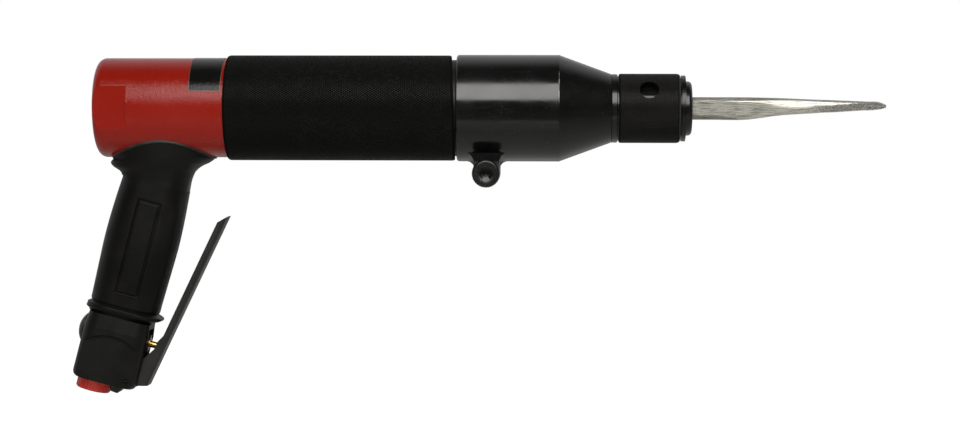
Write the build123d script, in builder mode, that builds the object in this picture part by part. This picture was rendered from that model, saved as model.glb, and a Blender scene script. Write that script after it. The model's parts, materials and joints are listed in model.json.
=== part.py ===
from build123d import *
import os
from math import cos, radians, sin

# Pneumatic chisel scaler, in millimetres. +X runs forward to the chisel, +Z is up.
# The origin is the middle of the grip. Stations along the barrel are counted forward
# from the point where the handle's axis meets the barrel's axis. Stations on the handle
# are counted down from that same point, and reaches forward from the handle's axis.

# Driving dimensions: the pose of the handle
rake = 14.55
grip_middle = 82.0

# Barrel: stations and radii
rear_face = -44.2
housing_front = 30.6
housing_radius = 28.5
housing_wall = 5.2
bore_radius = 23.5
tube_radius = 27.6
tube_thread_start = 12.0
tube_thread_radius = 25.0
barrel_sleeve_front = 160.1
barrel_sleeve_radius = 30.15
front_tube_rear = 162.3
front_tube_radius = 30.5
front_tube_shoulder = 220.7
cone_front = 250.4
cone_front_radius = 19.6
flat_reach = 26.0
flat_length = 20.0

# Nose: stations and radii
collar_front = 253.9
collar_radius = 19.6
collar_step_radius = 18.7
journal_radius = 15.5
sleeve_rear = 254.7
sleeve_front = 289.7
sleeve_radius = 19.8
sleeve_clearance = 0.08
circlip_rear = 290.3
circlip_width = 2.3
circlip_radius = 18.85
circlip_groove_radius = 14.2
nose_front = 296.3
ball_radius = 5.16
ball_station = 271.7
ball_height = 10.25
sleeve_hole_radius = 5.5
sleeve_hole_angle = 32.5

# Chisel: a half inch square shank and a flat blade
shank = 12.7
shank_chamfer = 2.0
shank_clearance = 0.08
chisel_rear = 222.0
blade_start = 328.0
chisel_tip = 405.8
chisel_travel = 8.0
edge_width = 19.0

# Striking gear
spring_seat = -20.4
cylinder_joint = 12.0
piston_radius = 12.0
piston_length = 50.0
running_gap = 0.05
cylinder_floor = 28.0
bush_rear = 150.2
cylinder_front = 184.0
tube_lip_rear = 188.0
tube_front = 194.0
anvil_radius = 9.0
anvil_head_radius = 11.6
anvil_head_length = 10.0

# Clamp lug under the front tube
lug_station = 179.5
lug_height = -37.2
lug_radius = 7.3
lug_seat = 16.5
screw_radius = 5.0
screw_head_radius = 8.1
slit_width = 2.5

# Handle: stations and half sizes
boss_end = 42.0
boss_radius = 16.0
spigot_radius = 9.97
spigot_gap = 0.05
passage_radius = 5.5
stem_radius = 13.5
collar_seam = 45.0
grip_end = 124.6
block_end = 163.5
block_half_depth = 18.85
block_half_width = 17.0
block_corner = 8.6

# Throttle valve and lever
valve_station = 136.0
valve_bore = 6.0
stem_pin_radius = 1.9
pin_station = 158.8
pin_reach = 13.1
pin_radius = 1.5
slot_half_width = 8.0
slot_top = 143.0
slot_back = 5.0
lever_half_width = 7.7
lever_thickness = 1.8
web_thickness = 2.0

# Air inlet: a G3/8 pipe thread, kept as its minor bore
inlet_reach = -6.5
inlet_radius = 7.475
inlet_mouth_top = 159.5
inlet_mouth_radius = 8.6
cap_radius = 10.0
cap_height = 6.5

# Frames that the pieces are drawn in
across = Vector(0, -1, 0)
handle_up = Vector(sin(radians(rake)), 0, cos(radians(rake)))
handle_forward = Vector(cos(radians(rake)), 0, -sin(radians(rake)))
barrel_point = handle_up * grip_middle
barrel_axis = Axis(barrel_point, (1, 0, 0))
handle_axis = Axis(barrel_point, handle_up)
barrel_side = Plane(origin=barrel_point, x_dir=(1, 0, 0), z_dir=across)
handle_side = Plane(origin=barrel_point, x_dir=handle_forward, z_dir=across)


# A point on the handle, from its station down the axis and its reach forward
def handle_point(station, reach=0.0):
    return barrel_point - handle_up * station + handle_forward * reach


# A cross-section plane of the handle: local x forward, local y to the left, normal up
def handle_section(station, reach=0.0):
    return Plane(origin=handle_point(station, reach), x_dir=handle_forward, z_dir=handle_up)


# A cross-section plane of the barrel: local x to the left, local y up, normal forward
def barrel_section(station, height=0.0):
    origin = barrel_point + Vector(station, 0, height)
    return Plane(origin=origin, x_dir=(0, 1, 0), z_dir=(1, 0, 0))


valve_point = handle_point(valve_station)
valve_axis = Axis(valve_point, handle_forward)
valve_side = Plane(origin=valve_point, x_dir=handle_forward, z_dir=across)

os.makedirs("parts", exist_ok=True)


# Rear housing: a closed cup with spanner flats and a boss that takes the handle stem
rear_edge_round = 5.0
socket_top = 26.5
with BuildPart() as rear_housing:
    with BuildSketch(barrel_section(rear_face)):
        Circle(housing_radius)
    extrude(amount=housing_front - rear_face)
    fillet(rear_housing.edges().group_by(Axis.X)[0], rear_edge_round)
    for side in (1, -1):
        with BuildSketch(barrel_side.offset(side * flat_reach)):
            with Locations((rear_face + flat_length / 2, 0)):
                Rectangle(flat_length, 2 * housing_radius)
        extrude(amount=side * housing_radius, mode=Mode.SUBTRACT)
    with BuildSketch(handle_section(boss_end)):
        Circle(boss_radius)
    extrude(amount=boss_end - bore_radius)
    with BuildSketch(barrel_section(rear_face + housing_wall)):
        Circle(bore_radius)
    extrude(amount=housing_front - rear_face - housing_wall, mode=Mode.SUBTRACT)
    with BuildSketch(barrel_section(tube_thread_start)):
        Circle(tube_thread_radius)
    extrude(amount=housing_front - tube_thread_start, mode=Mode.SUBTRACT)
    with BuildSketch(handle_section(boss_end)):
        Circle(spigot_radius + spigot_gap)
    extrude(amount=boss_end - socket_top, mode=Mode.SUBTRACT)
    with BuildSketch(handle_section(boss_end)):
        Circle(passage_radius)
    extrude(amount=boss_end - bore_radius / 2, mode=Mode.SUBTRACT)
rear_housing.part.label = "rear_housing"
export_step(rear_housing.part, "parts/rear_housing.step")


# Saddle collar: a flared moulding that hugs the casing and necks down to the grip
neck_half_depth = 19.6
neck_half_width = 16.4
neck_level_depth = neck_half_depth / cos(radians(rake))
saddle_sections = (
    (-54.0, neck_level_depth, neck_half_width, 13.5, -14.0),
    (-47.0, neck_level_depth, neck_half_width, 13.5, -12.2),
    (-40.0, neck_level_depth, neck_half_width, 13.5, -10.3),
    (-36.5, 21.6, 17.2, 14.2, -9.9),
    (-33.6, 25.1, 18.6, 16.0, -10.2),
    (-30.8, 28.9, 19.7, 18.0, -7.9),
    (-29.0, 30.2, 20.2, 19.0, -6.5),
)
skirt_section = (-10.0, 30.0, 22.6, 21.5, -6.3)
with BuildPart() as saddle_collar:
    for height, half_depth, half_width, corner, shift in saddle_sections:
        with BuildSketch(Plane(origin=barrel_point + Vector(shift, 0, height))):
            RectangleRounded(2 * half_depth, 2 * half_width, corner)
    loft()
    for height, half_depth, half_width, corner, shift in (saddle_sections[-1], skirt_section):
        with BuildSketch(Plane(origin=barrel_point + Vector(shift, 0, height))):
            RectangleRounded(2 * half_depth, 2 * half_width, corner)
    loft(ruled=True)
    with BuildSketch(handle_section(collar_seam)):
        Circle(2 * housing_radius)
    extrude(amount=-collar_seam, mode=Mode.SUBTRACT)
    with BuildSketch(barrel_section(rear_face - housing_radius)):
        Circle(housing_radius)
    extrude(amount=4 * housing_radius, mode=Mode.SUBTRACT)
    with BuildSketch(handle_section(boss_end)):
        Circle(boss_radius + spigot_gap)
    extrude(amount=boss_end, mode=Mode.SUBTRACT)
    with BuildSketch(handle_section(collar_seam)):
        Circle(stem_radius + spigot_gap)
    extrude(amount=collar_seam, mode=Mode.SUBTRACT)
saddle_collar.part.label = "saddle_collar"
export_step(saddle_collar.part, "parts/saddle_collar.step")


# Handle stem: the tube that carries the grip and leads the air up to the casing
stem_top = 28.0
neck_top = 109.0
ring_section = 0.9
ring_depth = 1.85
ring_half_width = 1.1
top_ring_station = 34.0
neck_ring_station = 116.0
with BuildPart() as handle_stem:
    with BuildSketch(handle_section(boss_end)):
        Circle(spigot_radius)
    extrude(amount=boss_end - stem_top)
    with BuildSketch(handle_section(grip_end)):
        Circle(stem_radius)
    extrude(amount=grip_end - boss_end)
    with BuildSketch(handle_section(top_ring_station + ring_half_width)):
        Circle(spigot_radius)
        Circle(spigot_radius - ring_depth, mode=Mode.SUBTRACT)
    extrude(amount=2 * ring_half_width, mode=Mode.SUBTRACT)
    with BuildSketch(handle_section(grip_end)):
        Circle(passage_radius)
    extrude(amount=grip_end - stem_top, mode=Mode.SUBTRACT)
    with BuildSketch(handle_section(grip_end)):
        Circle(spigot_radius + spigot_gap)
    extrude(amount=grip_end - neck_top + ring_half_width, mode=Mode.SUBTRACT)
handle_stem.part.label = "handle_stem"
export_step(handle_stem.part, "parts/handle_stem.step")


# Seals in the grooves at both ends of the stem
with BuildPart() as handle_o_rings:
    for station in (top_ring_station, neck_ring_station):
        with BuildSketch(handle_side):
            with Locations((spigot_radius - ring_section, -station)):
                Circle(ring_section - running_gap)
        revolve(axis=handle_axis)
handle_o_rings.part.label = "handle_o_rings"
export_step(handle_o_rings.part, "parts/handle_o_rings.step")


# Grip sleeve: a barrel-shaped oval of rubber with a bead that guards the fingers
grip_flatness = 0.83
grip_corner = 14.5
grip_sections = ((collar_seam, 19.55), (62.0, 20.55), (80.0, 21.0), (98.0, 20.55), (117.2, 20.0))
bead_sections = (
    (117.2, 20.0, 0.0),
    (119.2, 20.5, 0.35),
    (121.0, 22.0, 0.95),
    (122.8, 20.8, -0.4),
    (grip_end, 18.9, -0.7),
)
panel_depth = 0.5
panel_length = 54.6
panel_width = 12.4
panel_station = 83.0
panel_shift = 1.4
panel_round = 1.0
with BuildPart() as grip_sleeve:
    for station, half_depth in grip_sections:
        with BuildSketch(handle_section(station)):
            RectangleRounded(2 * half_depth, 2 * grip_flatness * half_depth, grip_corner)
    loft()
    for station, half_depth, shift in bead_sections:
        with BuildSketch(handle_section(station, shift)):
            RectangleRounded(2 * half_depth, 2 * grip_flatness * half_depth, grip_corner)
    loft()
    grip_half_depth = max(half_depth for station, half_depth in grip_sections)
    for side in (1, -1):
        panel_floor = grip_flatness * grip_half_depth - panel_depth
        with BuildSketch(handle_side.offset(side * panel_floor)):
            with Locations((panel_shift, -panel_station)):
                RectangleRounded(panel_width, panel_length, panel_round)
        extrude(amount=side * stem_radius, mode=Mode.SUBTRACT)
    with BuildSketch(handle_section(grip_end)):
        Circle(stem_radius + spigot_gap)
    extrude(amount=grip_end - collar_seam, mode=Mode.SUBTRACT)
grip_sleeve.part.label = "grip_sleeve"
export_step(grip_sleeve.part, "parts/grip_sleeve.step")


# Throttle body: a rounded block with arched flats, a lever slot, the inlet and the valve bores
block_round = 3.5
block_brow = 8.0
block_brow_depth = 1.0
flat_half_width = 14.5
flat_rear = -17.0
flat_front = 16.5
arch_top = 135.1
arch_radius = 24.7
arch_reach = 0.5
relief_back = 15.7
relief_top = 127.5
guide_boss_radius = 5.2
neck_bore = 4.5
valve_seat = -1.0
seat_radius = 3.4
plug_radius = 6.5
plug_depth = 7.4
bush_radius = 3.9
bush_start = 9.0
outlet_reach = 3.0
outlet_radius = 2.6
inlet_passage_radius = 5.2
strainer_radius = 7.0
strainer_top = 145.2
strainer_bottom = 147.0
pin_fit = 0.02
with BuildPart() as throttle_body:
    with BuildSketch(handle_section(block_end)):
        RectangleRounded(2 * block_half_depth, 2 * block_half_width, block_corner)
    extrude(amount=block_end - grip_end)
    fillet(throttle_body.edges().group_by(handle_axis)[0], block_round)
    brow = throttle_body.edges().group_by(handle_axis)[-1].sort_by(valve_axis)[-1]
    chamfer(brow, block_brow_depth, block_brow, reference=throttle_body.faces().sort_by(handle_axis)[-1])
    for side in (1, -1):
        with BuildSketch(handle_side.offset(side * flat_half_width)):
            with Locations((arch_reach, -arch_top - arch_radius)):
                Circle(arch_radius)
            with Locations(((flat_front + flat_rear) / 2, -arch_top - arch_radius)):
                Rectangle(flat_front - flat_rear, 2 * arch_radius, mode=Mode.INTERSECT)
        extrude(amount=side * block_half_width, mode=Mode.SUBTRACT)
    with BuildSketch(handle_section(grip_end)):
        Circle(spigot_radius)
    extrude(amount=grip_end - neck_top)
    with BuildSketch(handle_section(neck_ring_station + ring_half_width)):
        Circle(spigot_radius)
        Circle(spigot_radius - ring_depth, mode=Mode.SUBTRACT)
    extrude(amount=2 * ring_half_width, mode=Mode.SUBTRACT)
    slot_steps = ((slot_top, block_end + cap_height, slot_back), (relief_top, slot_top, relief_back))
    for top, bottom, back in slot_steps:
        with BuildSketch(handle_section(bottom)):
            with Locations((back + block_half_depth / 2, 0)):
                Rectangle(block_half_depth, 2 * slot_half_width)
        extrude(amount=bottom - top, mode=Mode.SUBTRACT)
    with BuildSketch(valve_side):
        with Locations((block_half_depth, 0)):
            Rectangle(block_half_depth - bush_start, guide_boss_radius, align=(Align.MAX, Align.MIN))
    revolve(axis=valve_axis)
    valve_steps = (
        (-block_half_depth, -block_half_depth + plug_depth, plug_radius),
        (-block_half_depth, valve_seat, valve_bore),
        (-block_half_depth, bush_start, seat_radius),
        (bush_start, block_half_depth, bush_radius),
    )
    for start, end, radius in valve_steps:
        with BuildSketch(valve_side):
            with Locations((start, 0)):
                Rectangle(end - start, radius, align=(Align.MIN, Align.MIN))
        revolve(axis=valve_axis, mode=Mode.SUBTRACT)
    inlet_steps = (
        (block_end, inlet_mouth_top, inlet_mouth_radius),
        (block_end, strainer_bottom, inlet_radius),
        (block_end, strainer_top, strainer_radius),
        (block_end, valve_station, inlet_passage_radius),
    )
    for bottom, top, radius in inlet_steps:
        with BuildSketch(handle_section(bottom, inlet_reach)):
            Circle(radius)
        extrude(amount=bottom - top, mode=Mode.SUBTRACT)
    with BuildSketch(handle_section(valve_station, outlet_reach)):
        Circle(outlet_radius)
    extrude(amount=valve_station - grip_end, mode=Mode.SUBTRACT)
    with BuildSketch(handle_section(grip_end + outlet_radius)):
        Circle(neck_bore)
    extrude(amount=grip_end + outlet_radius - neck_top, mode=Mode.SUBTRACT)
    with BuildSketch(handle_side):
        with Locations((pin_reach, -pin_station)):
            Circle(pin_radius + pin_fit)
    extrude(amount=block_half_width, both=True, mode=Mode.SUBTRACT)
throttle_body.part.label = "throttle_body"
export_step(throttle_body.part, "parts/throttle_body.step")


# Throttle lever: a pressed channel, open to the grip, with ears on the pin and a stop toe
lever_tip = (52.6, 45.55)
lever_foot = (159.2, 24.85)
lever_outline = (
    lever_tip,
    lever_foot,
    (160.0, 21.5),
    (160.9, 17.6),
    (162.6, 12.6),
    (167.7, 9.0),
    (167.2, 4.6),
    (164.6, 4.4),
    (164.6, 7.4),
    (155.0, 8.2),
    (149.5, 13.0),
    (144.6, 18.8),
    (137.3, 23.5),
    (132.8, 24.3),
    (128.6, 26.7),
    (57.5, 40.5),
)
pocket_foot = ((158.8, 19.6), (161.8, 11.6), (161.8, 0.0))
bend_round = 2.4
pin_clearance = 0.07
lever_slope = (lever_tip[1] - lever_foot[1]) / (lever_foot[0] - lever_tip[0])
web_inset = web_thickness * (1 + lever_slope**2) ** 0.5


# Points of a side view, from stations down the handle and reaches forward of its axis
def side_points(pairs):
    return [(reach, -station) for station, reach in pairs]


# Reach of the web's inner face at a station of the handle
def web_inner(station):
    return lever_foot[1] + (lever_foot[0] - station) * lever_slope - web_inset


pocket_outline = (
    (collar_seam, web_inner(collar_seam)),
    (lever_foot[0] - web_thickness, web_inner(lever_foot[0] - web_thickness)),
    *pocket_foot,
    (collar_seam, 0.0),
)
with BuildPart() as throttle_lever:
    with BuildSketch(handle_side):
        with BuildLine():
            Polyline(*side_points(lever_outline), close=True)
        make_face()
    extrude(amount=lever_half_width, both=True)
    fillet(throttle_lever.edges().sort_by(SortBy.LENGTH)[-2:], bend_round)
    with BuildSketch(handle_side):
        with BuildLine():
            Polyline(*side_points(pocket_outline), close=True)
        make_face()
    extrude(amount=lever_half_width - lever_thickness, both=True, mode=Mode.SUBTRACT)
    with BuildSketch(handle_side):
        with Locations((pin_reach, -pin_station)):
            Circle(pin_radius + pin_clearance)
    extrude(amount=lever_half_width, both=True, mode=Mode.SUBTRACT)
throttle_lever.part.label = "throttle_lever"
export_step(throttle_lever.part, "parts/throttle_lever.step")


# Lever pin: a rolled spring pin, open along one side
pin_bore = 0.8
pin_gap = 0.6
with BuildPart() as lever_pin:
    with BuildSketch(handle_side):
        with Locations((pin_reach, -pin_station)):
            Circle(pin_radius)
            Circle(pin_bore, mode=Mode.SUBTRACT)
        with Locations((pin_reach + pin_radius, -pin_station)):
            Rectangle(2 * pin_radius, pin_gap, mode=Mode.SUBTRACT)
    extrude(amount=flat_half_width, both=True)
lever_pin.part.label = "lever_pin"
export_step(lever_pin.part, "parts/lever_pin.step")


# Valve cap: a domed plug at the back of the block, hollow for the spring
dome_radius = 8.8
dome_rim = 0.6
dome_height = 3.5
plug_wall = 3.2
plug_pocket = 4.8
drive_width = 5.0
drive_depth = 2.0
dome_top = -block_half_depth - dome_rim - dome_height
dome_curve = (dome_radius**2 + dome_height**2) / (2 * dome_height)
with BuildPart() as valve_cap:
    with BuildSketch(valve_side):
        with BuildLine():
            Polyline(
                (dome_top, 0),
                (-block_half_depth + plug_wall, 0),
                (-block_half_depth + plug_wall, plug_pocket),
                (-block_half_depth + plug_depth, plug_pocket),
                (-block_half_depth + plug_depth, plug_radius - running_gap),
                (-block_half_depth, plug_radius - running_gap),
                (-block_half_depth, dome_radius),
                (-block_half_depth - dome_rim, dome_radius),
            )
            RadiusArc((-block_half_depth - dome_rim, dome_radius), (dome_top, 0), -dome_curve)
        make_face()
    revolve(axis=valve_axis)
    with BuildSketch(Plane(origin=valve_point + handle_forward * dome_top, z_dir=handle_forward)):
        RegularPolygon(drive_width / 2, 6, major_radius=False)
    extrude(amount=drive_depth, mode=Mode.SUBTRACT)
valve_cap.part.label = "valve_cap"
export_step(valve_cap.part, "parts/valve_cap.step")


# Valve stem: the brass push pin with its poppet head
head_radius = 5.2
head_rear = -4.6
head_front = -2.3
seal_front = -1.1
tail_radius = 2.2
tail_length = 2.4
stem_end = 27.05
with BuildPart() as valve_stem:
    with BuildSketch(valve_side):
        with BuildLine():
            Polyline(
                (stem_end, 0),
                (head_rear - tail_length, 0),
                (head_rear - tail_length, tail_radius),
                (head_rear, tail_radius),
                (head_rear, head_radius),
                (head_front, head_radius),
                (head_front, stem_pin_radius),
                (stem_end - stem_pin_radius, stem_pin_radius),
            )
            RadiusArc((stem_end - stem_pin_radius, stem_pin_radius), (stem_end, 0), stem_pin_radius)
        make_face()
    revolve(axis=valve_axis)
valve_stem.part.label = "valve_stem"
export_step(valve_stem.part, "parts/valve_stem.step")


# Valve seal: the rubber washer on the poppet's face
with BuildPart() as valve_seal:
    with BuildSketch(valve_side):
        with Locations((head_front, stem_pin_radius + running_gap)):
            seal_width = head_radius - stem_pin_radius - 2 * running_gap
            Rectangle(seal_front - head_front, seal_width, align=(Align.MIN, Align.MIN))
    revolve(axis=valve_axis)
valve_seal.part.label = "valve_seal"
export_step(valve_seal.part, "parts/valve_seal.step")


# Stem bush and its seal, in the front of the block
bush_end = 19.2
bush_groove_start = 13.0
bush_groove_width = 1.8
bush_groove_radius = 3.25
with BuildPart() as stem_bush:
    with BuildSketch(valve_side):
        with Locations((bush_start, stem_pin_radius + running_gap)):
            bush_wall = bush_radius - stem_pin_radius - running_gap
            Rectangle(bush_end - bush_start, bush_wall, align=(Align.MIN, Align.MIN))
        with Locations((bush_groove_start, 0)):
            Rectangle(
                bush_groove_width,
                bush_groove_radius,
                align=(Align.MIN, Align.MIN),
                mode=Mode.SUBTRACT,
            )
    revolve(axis=valve_axis)
stem_bush.part.label = "stem_bush"
export_step(stem_bush.part, "parts/stem_bush.step")

stem_ring_section = 0.58
with BuildPart() as stem_o_ring:
    with BuildSketch(valve_side):
        ring_reach = bush_groove_start + bush_groove_width / 2
        with Locations((ring_reach, bush_groove_radius - stem_ring_section - running_gap)):
            Circle(stem_ring_section)
    revolve(axis=valve_axis)
stem_o_ring.part.label = "stem_o_ring"
export_step(stem_o_ring.part, "parts/stem_o_ring.step")


# A coil spring between two seats on an axis, with plain ends
def coil_spring(seat, direction, length, mean_radius, wire_radius, turns):
    height = length - 2 * wire_radius
    with BuildPart() as spring:
        with BuildLine() as coil:
            Helix(height / turns, height, mean_radius, seat + direction * wire_radius, direction)
        with BuildSketch(Plane(origin=coil.line @ 0, z_dir=coil.line % 0)):
            Circle(wire_radius)
        sweep(is_frenet=True)
    return spring.part


valve_spring_rear = -block_half_depth + plug_wall
valve_spring = coil_spring(
    seat=valve_point + handle_forward * valve_spring_rear,
    direction=handle_forward,
    length=head_rear - valve_spring_rear,
    mean_radius=3.8,
    wire_radius=0.4,
    turns=6,
)
valve_spring.label = "valve_spring"
export_step(valve_spring, "parts/valve_spring.step")


# Inlet strainer: a gauze disc in a seat above the thread
strainer_hole = 0.7
strainer_rings = ((2.0, 6), (4.4, 12))
with BuildPart() as inlet_strainer:
    with BuildSketch(handle_section(strainer_bottom, inlet_reach)):
        Circle(strainer_radius - running_gap)
        for ring_radius, count in strainer_rings:
            with PolarLocations(ring_radius, count):
                Circle(strainer_hole, mode=Mode.SUBTRACT)
    extrude(amount=strainer_bottom - strainer_top)
inlet_strainer.part.label = "inlet_strainer"
export_step(inlet_strainer.part, "parts/inlet_strainer.step")


# Transit cap: a ribbed plastic stopper in the inlet's mouth
cap_gap = 0.1
cap_spigot = 3.6
cap_bore = 6.8
cap_floor = 1.8
cap_chamfer = 0.8
rib_count = 36
rib_cut = 0.42
with BuildPart() as transit_cap:
    with BuildSketch(handle_section(block_end + cap_height, inlet_reach)):
        Circle(cap_radius)
    extrude(amount=cap_height - cap_gap)
    chamfer(transit_cap.edges().group_by(handle_axis)[0], cap_chamfer)
    with BuildSketch(handle_section(block_end + cap_height, inlet_reach)):
        with PolarLocations(cap_radius + rib_cut / 3, rib_count):
            Circle(rib_cut)
    extrude(amount=cap_height - cap_chamfer, mode=Mode.SUBTRACT)
    with BuildSketch(handle_section(block_end + cap_gap, inlet_reach)):
        Circle(inlet_mouth_radius - cap_gap)
    extrude(amount=cap_spigot)
    with BuildSketch(handle_section(block_end + cap_height - cap_floor, inlet_reach)):
        Circle(cap_bore)
    extrude(amount=cap_height + cap_spigot, mode=Mode.SUBTRACT)
transit_cap.part.label = "transit_cap"
export_step(transit_cap.part, "parts/transit_cap.step")


# Barrel tube: screwed into the casing, with a lip that stops the striking gear
lip_bore = 11.0
tube_thread_gap = 0.3
with BuildPart() as barrel_tube:
    with BuildSketch(barrel_side):
        with BuildLine():
            Polyline(
                (tube_thread_start + tube_thread_gap, bore_radius),
                (tube_lip_rear, bore_radius),
                (tube_lip_rear, lip_bore),
                (tube_front, lip_bore),
                (tube_front, tube_radius),
                (housing_front, tube_radius),
                (housing_front, tube_thread_radius - running_gap),
                (tube_thread_start + tube_thread_gap, tube_thread_radius - running_gap),
                close=True,
            )
        make_face()
    revolve(axis=barrel_axis)
barrel_tube.part.label = "barrel_tube"
export_step(barrel_tube.part, "parts/barrel_tube.step")


# Barrel sleeve: thick rubber round the tube, with rounded ends
sleeve_end_round = 1.0
barrel_sleeve_rear = housing_front + 0.1
with BuildPart() as barrel_sleeve:
    with BuildSketch(barrel_section(barrel_sleeve_rear)):
        Circle(barrel_sleeve_radius)
        Circle(tube_radius + running_gap, mode=Mode.SUBTRACT)
    extrude(amount=barrel_sleeve_front - barrel_sleeve_rear)
    outer_edges = barrel_sleeve.edges().filter_by(
        lambda edge: edge.geom_type == GeomType.CIRCLE and edge.radius > tube_radius + 1
    )
    fillet(outer_edges, sleeve_end_round)
barrel_sleeve.part.label = "barrel_sleeve"
export_step(barrel_sleeve.part, "parts/barrel_sleeve.step")


# Front tube: a clamp tube with a cone and, below, a slit lug with flat seats for the screw
clamp_bore = tube_radius + running_gap
clamp_depth = 196.0
cavity_radius = 21.0
holder_thread_start = 216.0
holder_thread_radius = 15.0
lug_round = 4.6
rear_chamfer = 0.8
screw_clearance = 0.4
with BuildPart() as front_tube:
    with BuildSketch(barrel_side):
        with BuildLine():
            Polyline(
                (front_tube_rear, 0),
                (front_tube_rear, front_tube_radius - rear_chamfer),
                (front_tube_rear + rear_chamfer, front_tube_radius),
                (front_tube_shoulder, front_tube_radius),
                (cone_front, cone_front_radius),
                (cone_front, 0),
                close=True,
            )
        make_face()
    revolve(axis=barrel_axis)
    with BuildSketch(barrel_side):
        with Locations((lug_station, lug_height)):
            Circle(lug_radius)
            Rectangle(2 * lug_radius, -lug_height, align=(Align.CENTER, Align.MIN))
    extrude(amount=lug_seat, both=True)
    root_edges = front_tube.edges(Select.NEW).filter_by(GeomType.CIRCLE).filter_by(
        lambda edge: edge.radius > front_tube_radius - running_gap
    )
    fillet(root_edges, lug_round)
    bore_steps = (
        (front_tube_rear, clamp_depth, clamp_bore),
        (clamp_depth, holder_thread_start, cavity_radius),
        (holder_thread_start, cone_front, holder_thread_radius),
    )
    for start, end, radius in bore_steps:
        with BuildSketch(barrel_section(start)):
            Circle(radius)
        extrude(amount=end - start, mode=Mode.SUBTRACT)
    for reach, clearance in ((lug_seat, screw_clearance), (-lug_seat, pin_fit)):
        with BuildSketch(barrel_side):
            with Locations((lug_station, lug_height)):
                Circle(screw_radius + clearance)
        extrude(amount=reach, mode=Mode.SUBTRACT)
    with BuildSketch(barrel_section(front_tube_rear)):
        Rectangle(slit_width, 2 * front_tube_radius, align=(Align.CENTER, Align.MAX))
    extrude(amount=clamp_depth - front_tube_rear, mode=Mode.SUBTRACT)
front_tube.part.label = "front_tube"
export_step(front_tube.part, "parts/front_tube.step")


# Clamp screw: a socket head cap screw across the lug
screw_head_height = 10.0
screw_length = 32.0
socket_width = 8.0
socket_depth = 5.0
head_chamfer = 0.6
with BuildPart() as clamp_screw:
    screw_seat = barrel_side.offset(lug_seat)
    with BuildSketch(screw_seat):
        with Locations((lug_station, lug_height)):
            Circle(screw_head_radius)
    extrude(amount=screw_head_height)
    chamfer(clamp_screw.edges().group_by(Axis.Y)[0], head_chamfer)
    with BuildSketch(screw_seat):
        with Locations((lug_station, lug_height)):
            Circle(screw_radius)
    extrude(amount=-screw_length)
    with BuildSketch(barrel_side.offset(lug_seat + screw_head_height)):
        with Locations((lug_station, lug_height)):
            RegularPolygon(socket_width / 2, 6, major_radius=False)
    extrude(amount=-socket_depth, mode=Mode.SUBTRACT)
clamp_screw.part.label = "clamp_screw"
export_step(clamp_screw.part, "parts/clamp_screw.step")


# Chisel holder: the nose that screws into the cone, with a square bore and the sleeve's journal
holder_rear = 212.0
anvil_pocket_end = 226.0
anvil_pocket_radius = 9.6
nose_round = 2.2
collar_bevel = 0.4
collar_step = 0.5
ring_groove_rear = 257.6
ring_groove_front = 260.4
ring_groove_radius = 13.9
bore_corner = 1.2
with BuildPart() as chisel_holder:
    with BuildSketch(barrel_side):
        with BuildLine():
            Polyline(
                (holder_rear, 0),
                (holder_rear, holder_thread_radius - running_gap),
                (cone_front, holder_thread_radius - running_gap),
                (cone_front, collar_radius - collar_bevel),
                (cone_front + collar_bevel, collar_radius),
                (collar_front - collar_bevel, collar_radius),
                (collar_front, collar_radius - collar_bevel),
                (collar_front, collar_step_radius),
                (collar_front + collar_step, collar_step_radius),
                (collar_front + collar_step, journal_radius),
                (ring_groove_rear, journal_radius),
                (ring_groove_rear, ring_groove_radius),
                (ring_groove_front, ring_groove_radius),
                (ring_groove_front, journal_radius),
                (circlip_rear, journal_radius),
                (circlip_rear, circlip_groove_radius),
                (circlip_rear + circlip_width, circlip_groove_radius),
                (circlip_rear + circlip_width, journal_radius),
                (nose_front, journal_radius),
                (nose_front, 0),
                close=True,
            )
        make_face()
    revolve(axis=barrel_axis)
    fillet(chisel_holder.edges().group_by(Axis.X)[-1], nose_round)
    with BuildSketch(barrel_section(holder_rear)):
        Circle(anvil_pocket_radius)
    extrude(amount=anvil_pocket_end - holder_rear, mode=Mode.SUBTRACT)
    with BuildSketch(barrel_section(holder_rear)):
        square_bore = shank + 2 * shank_clearance
        RectangleRounded(square_bore, square_bore, bore_corner)
    extrude(amount=nose_front - holder_rear, mode=Mode.SUBTRACT)
    with BuildSketch(Plane(origin=barrel_point + Vector(ball_station, 0, 0), z_dir=(0, 0, 1))):
        Circle(ball_radius + running_gap)
    extrude(amount=journal_radius, mode=Mode.SUBTRACT)
chisel_holder.part.label = "chisel_holder"
export_step(chisel_holder.part, "parts/chisel_holder.step")


# Retaining sleeve: turned over the holder, with one hole that lets the ball out
sleeve_front_chamfer = 1.5
sleeve_rear_chamfer = 0.6
hole_direction = (0, -cos(radians(sleeve_hole_angle)), sin(radians(sleeve_hole_angle)))
with BuildPart() as retaining_sleeve:
    with BuildSketch(barrel_side):
        with BuildLine():
            Polyline(
                (sleeve_rear, journal_radius + sleeve_clearance),
                (sleeve_rear, sleeve_radius - sleeve_rear_chamfer),
                (sleeve_rear + sleeve_rear_chamfer, sleeve_radius),
                (sleeve_front - sleeve_front_chamfer, sleeve_radius),
                (sleeve_front, sleeve_radius - sleeve_front_chamfer),
                (sleeve_front, journal_radius + sleeve_clearance),
                close=True,
            )
        make_face()
    revolve(axis=barrel_axis)
    with BuildSketch(Plane(origin=barrel_point + Vector(ball_station, 0, 0), z_dir=hole_direction)):
        Circle(sleeve_hole_radius)
    extrude(amount=sleeve_radius, mode=Mode.SUBTRACT)
retaining_sleeve.part.label = "retaining_sleeve"
export_step(retaining_sleeve.part, "parts/retaining_sleeve.step")


# Locking ball, friction ring and circlip
with BuildPart() as locking_ball:
    with Locations(barrel_point + Vector(ball_station, 0, ball_height)):
        Sphere(ball_radius)
locking_ball.part.label = "locking_ball"
export_step(locking_ball.part, "parts/locking_ball.step")

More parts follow.
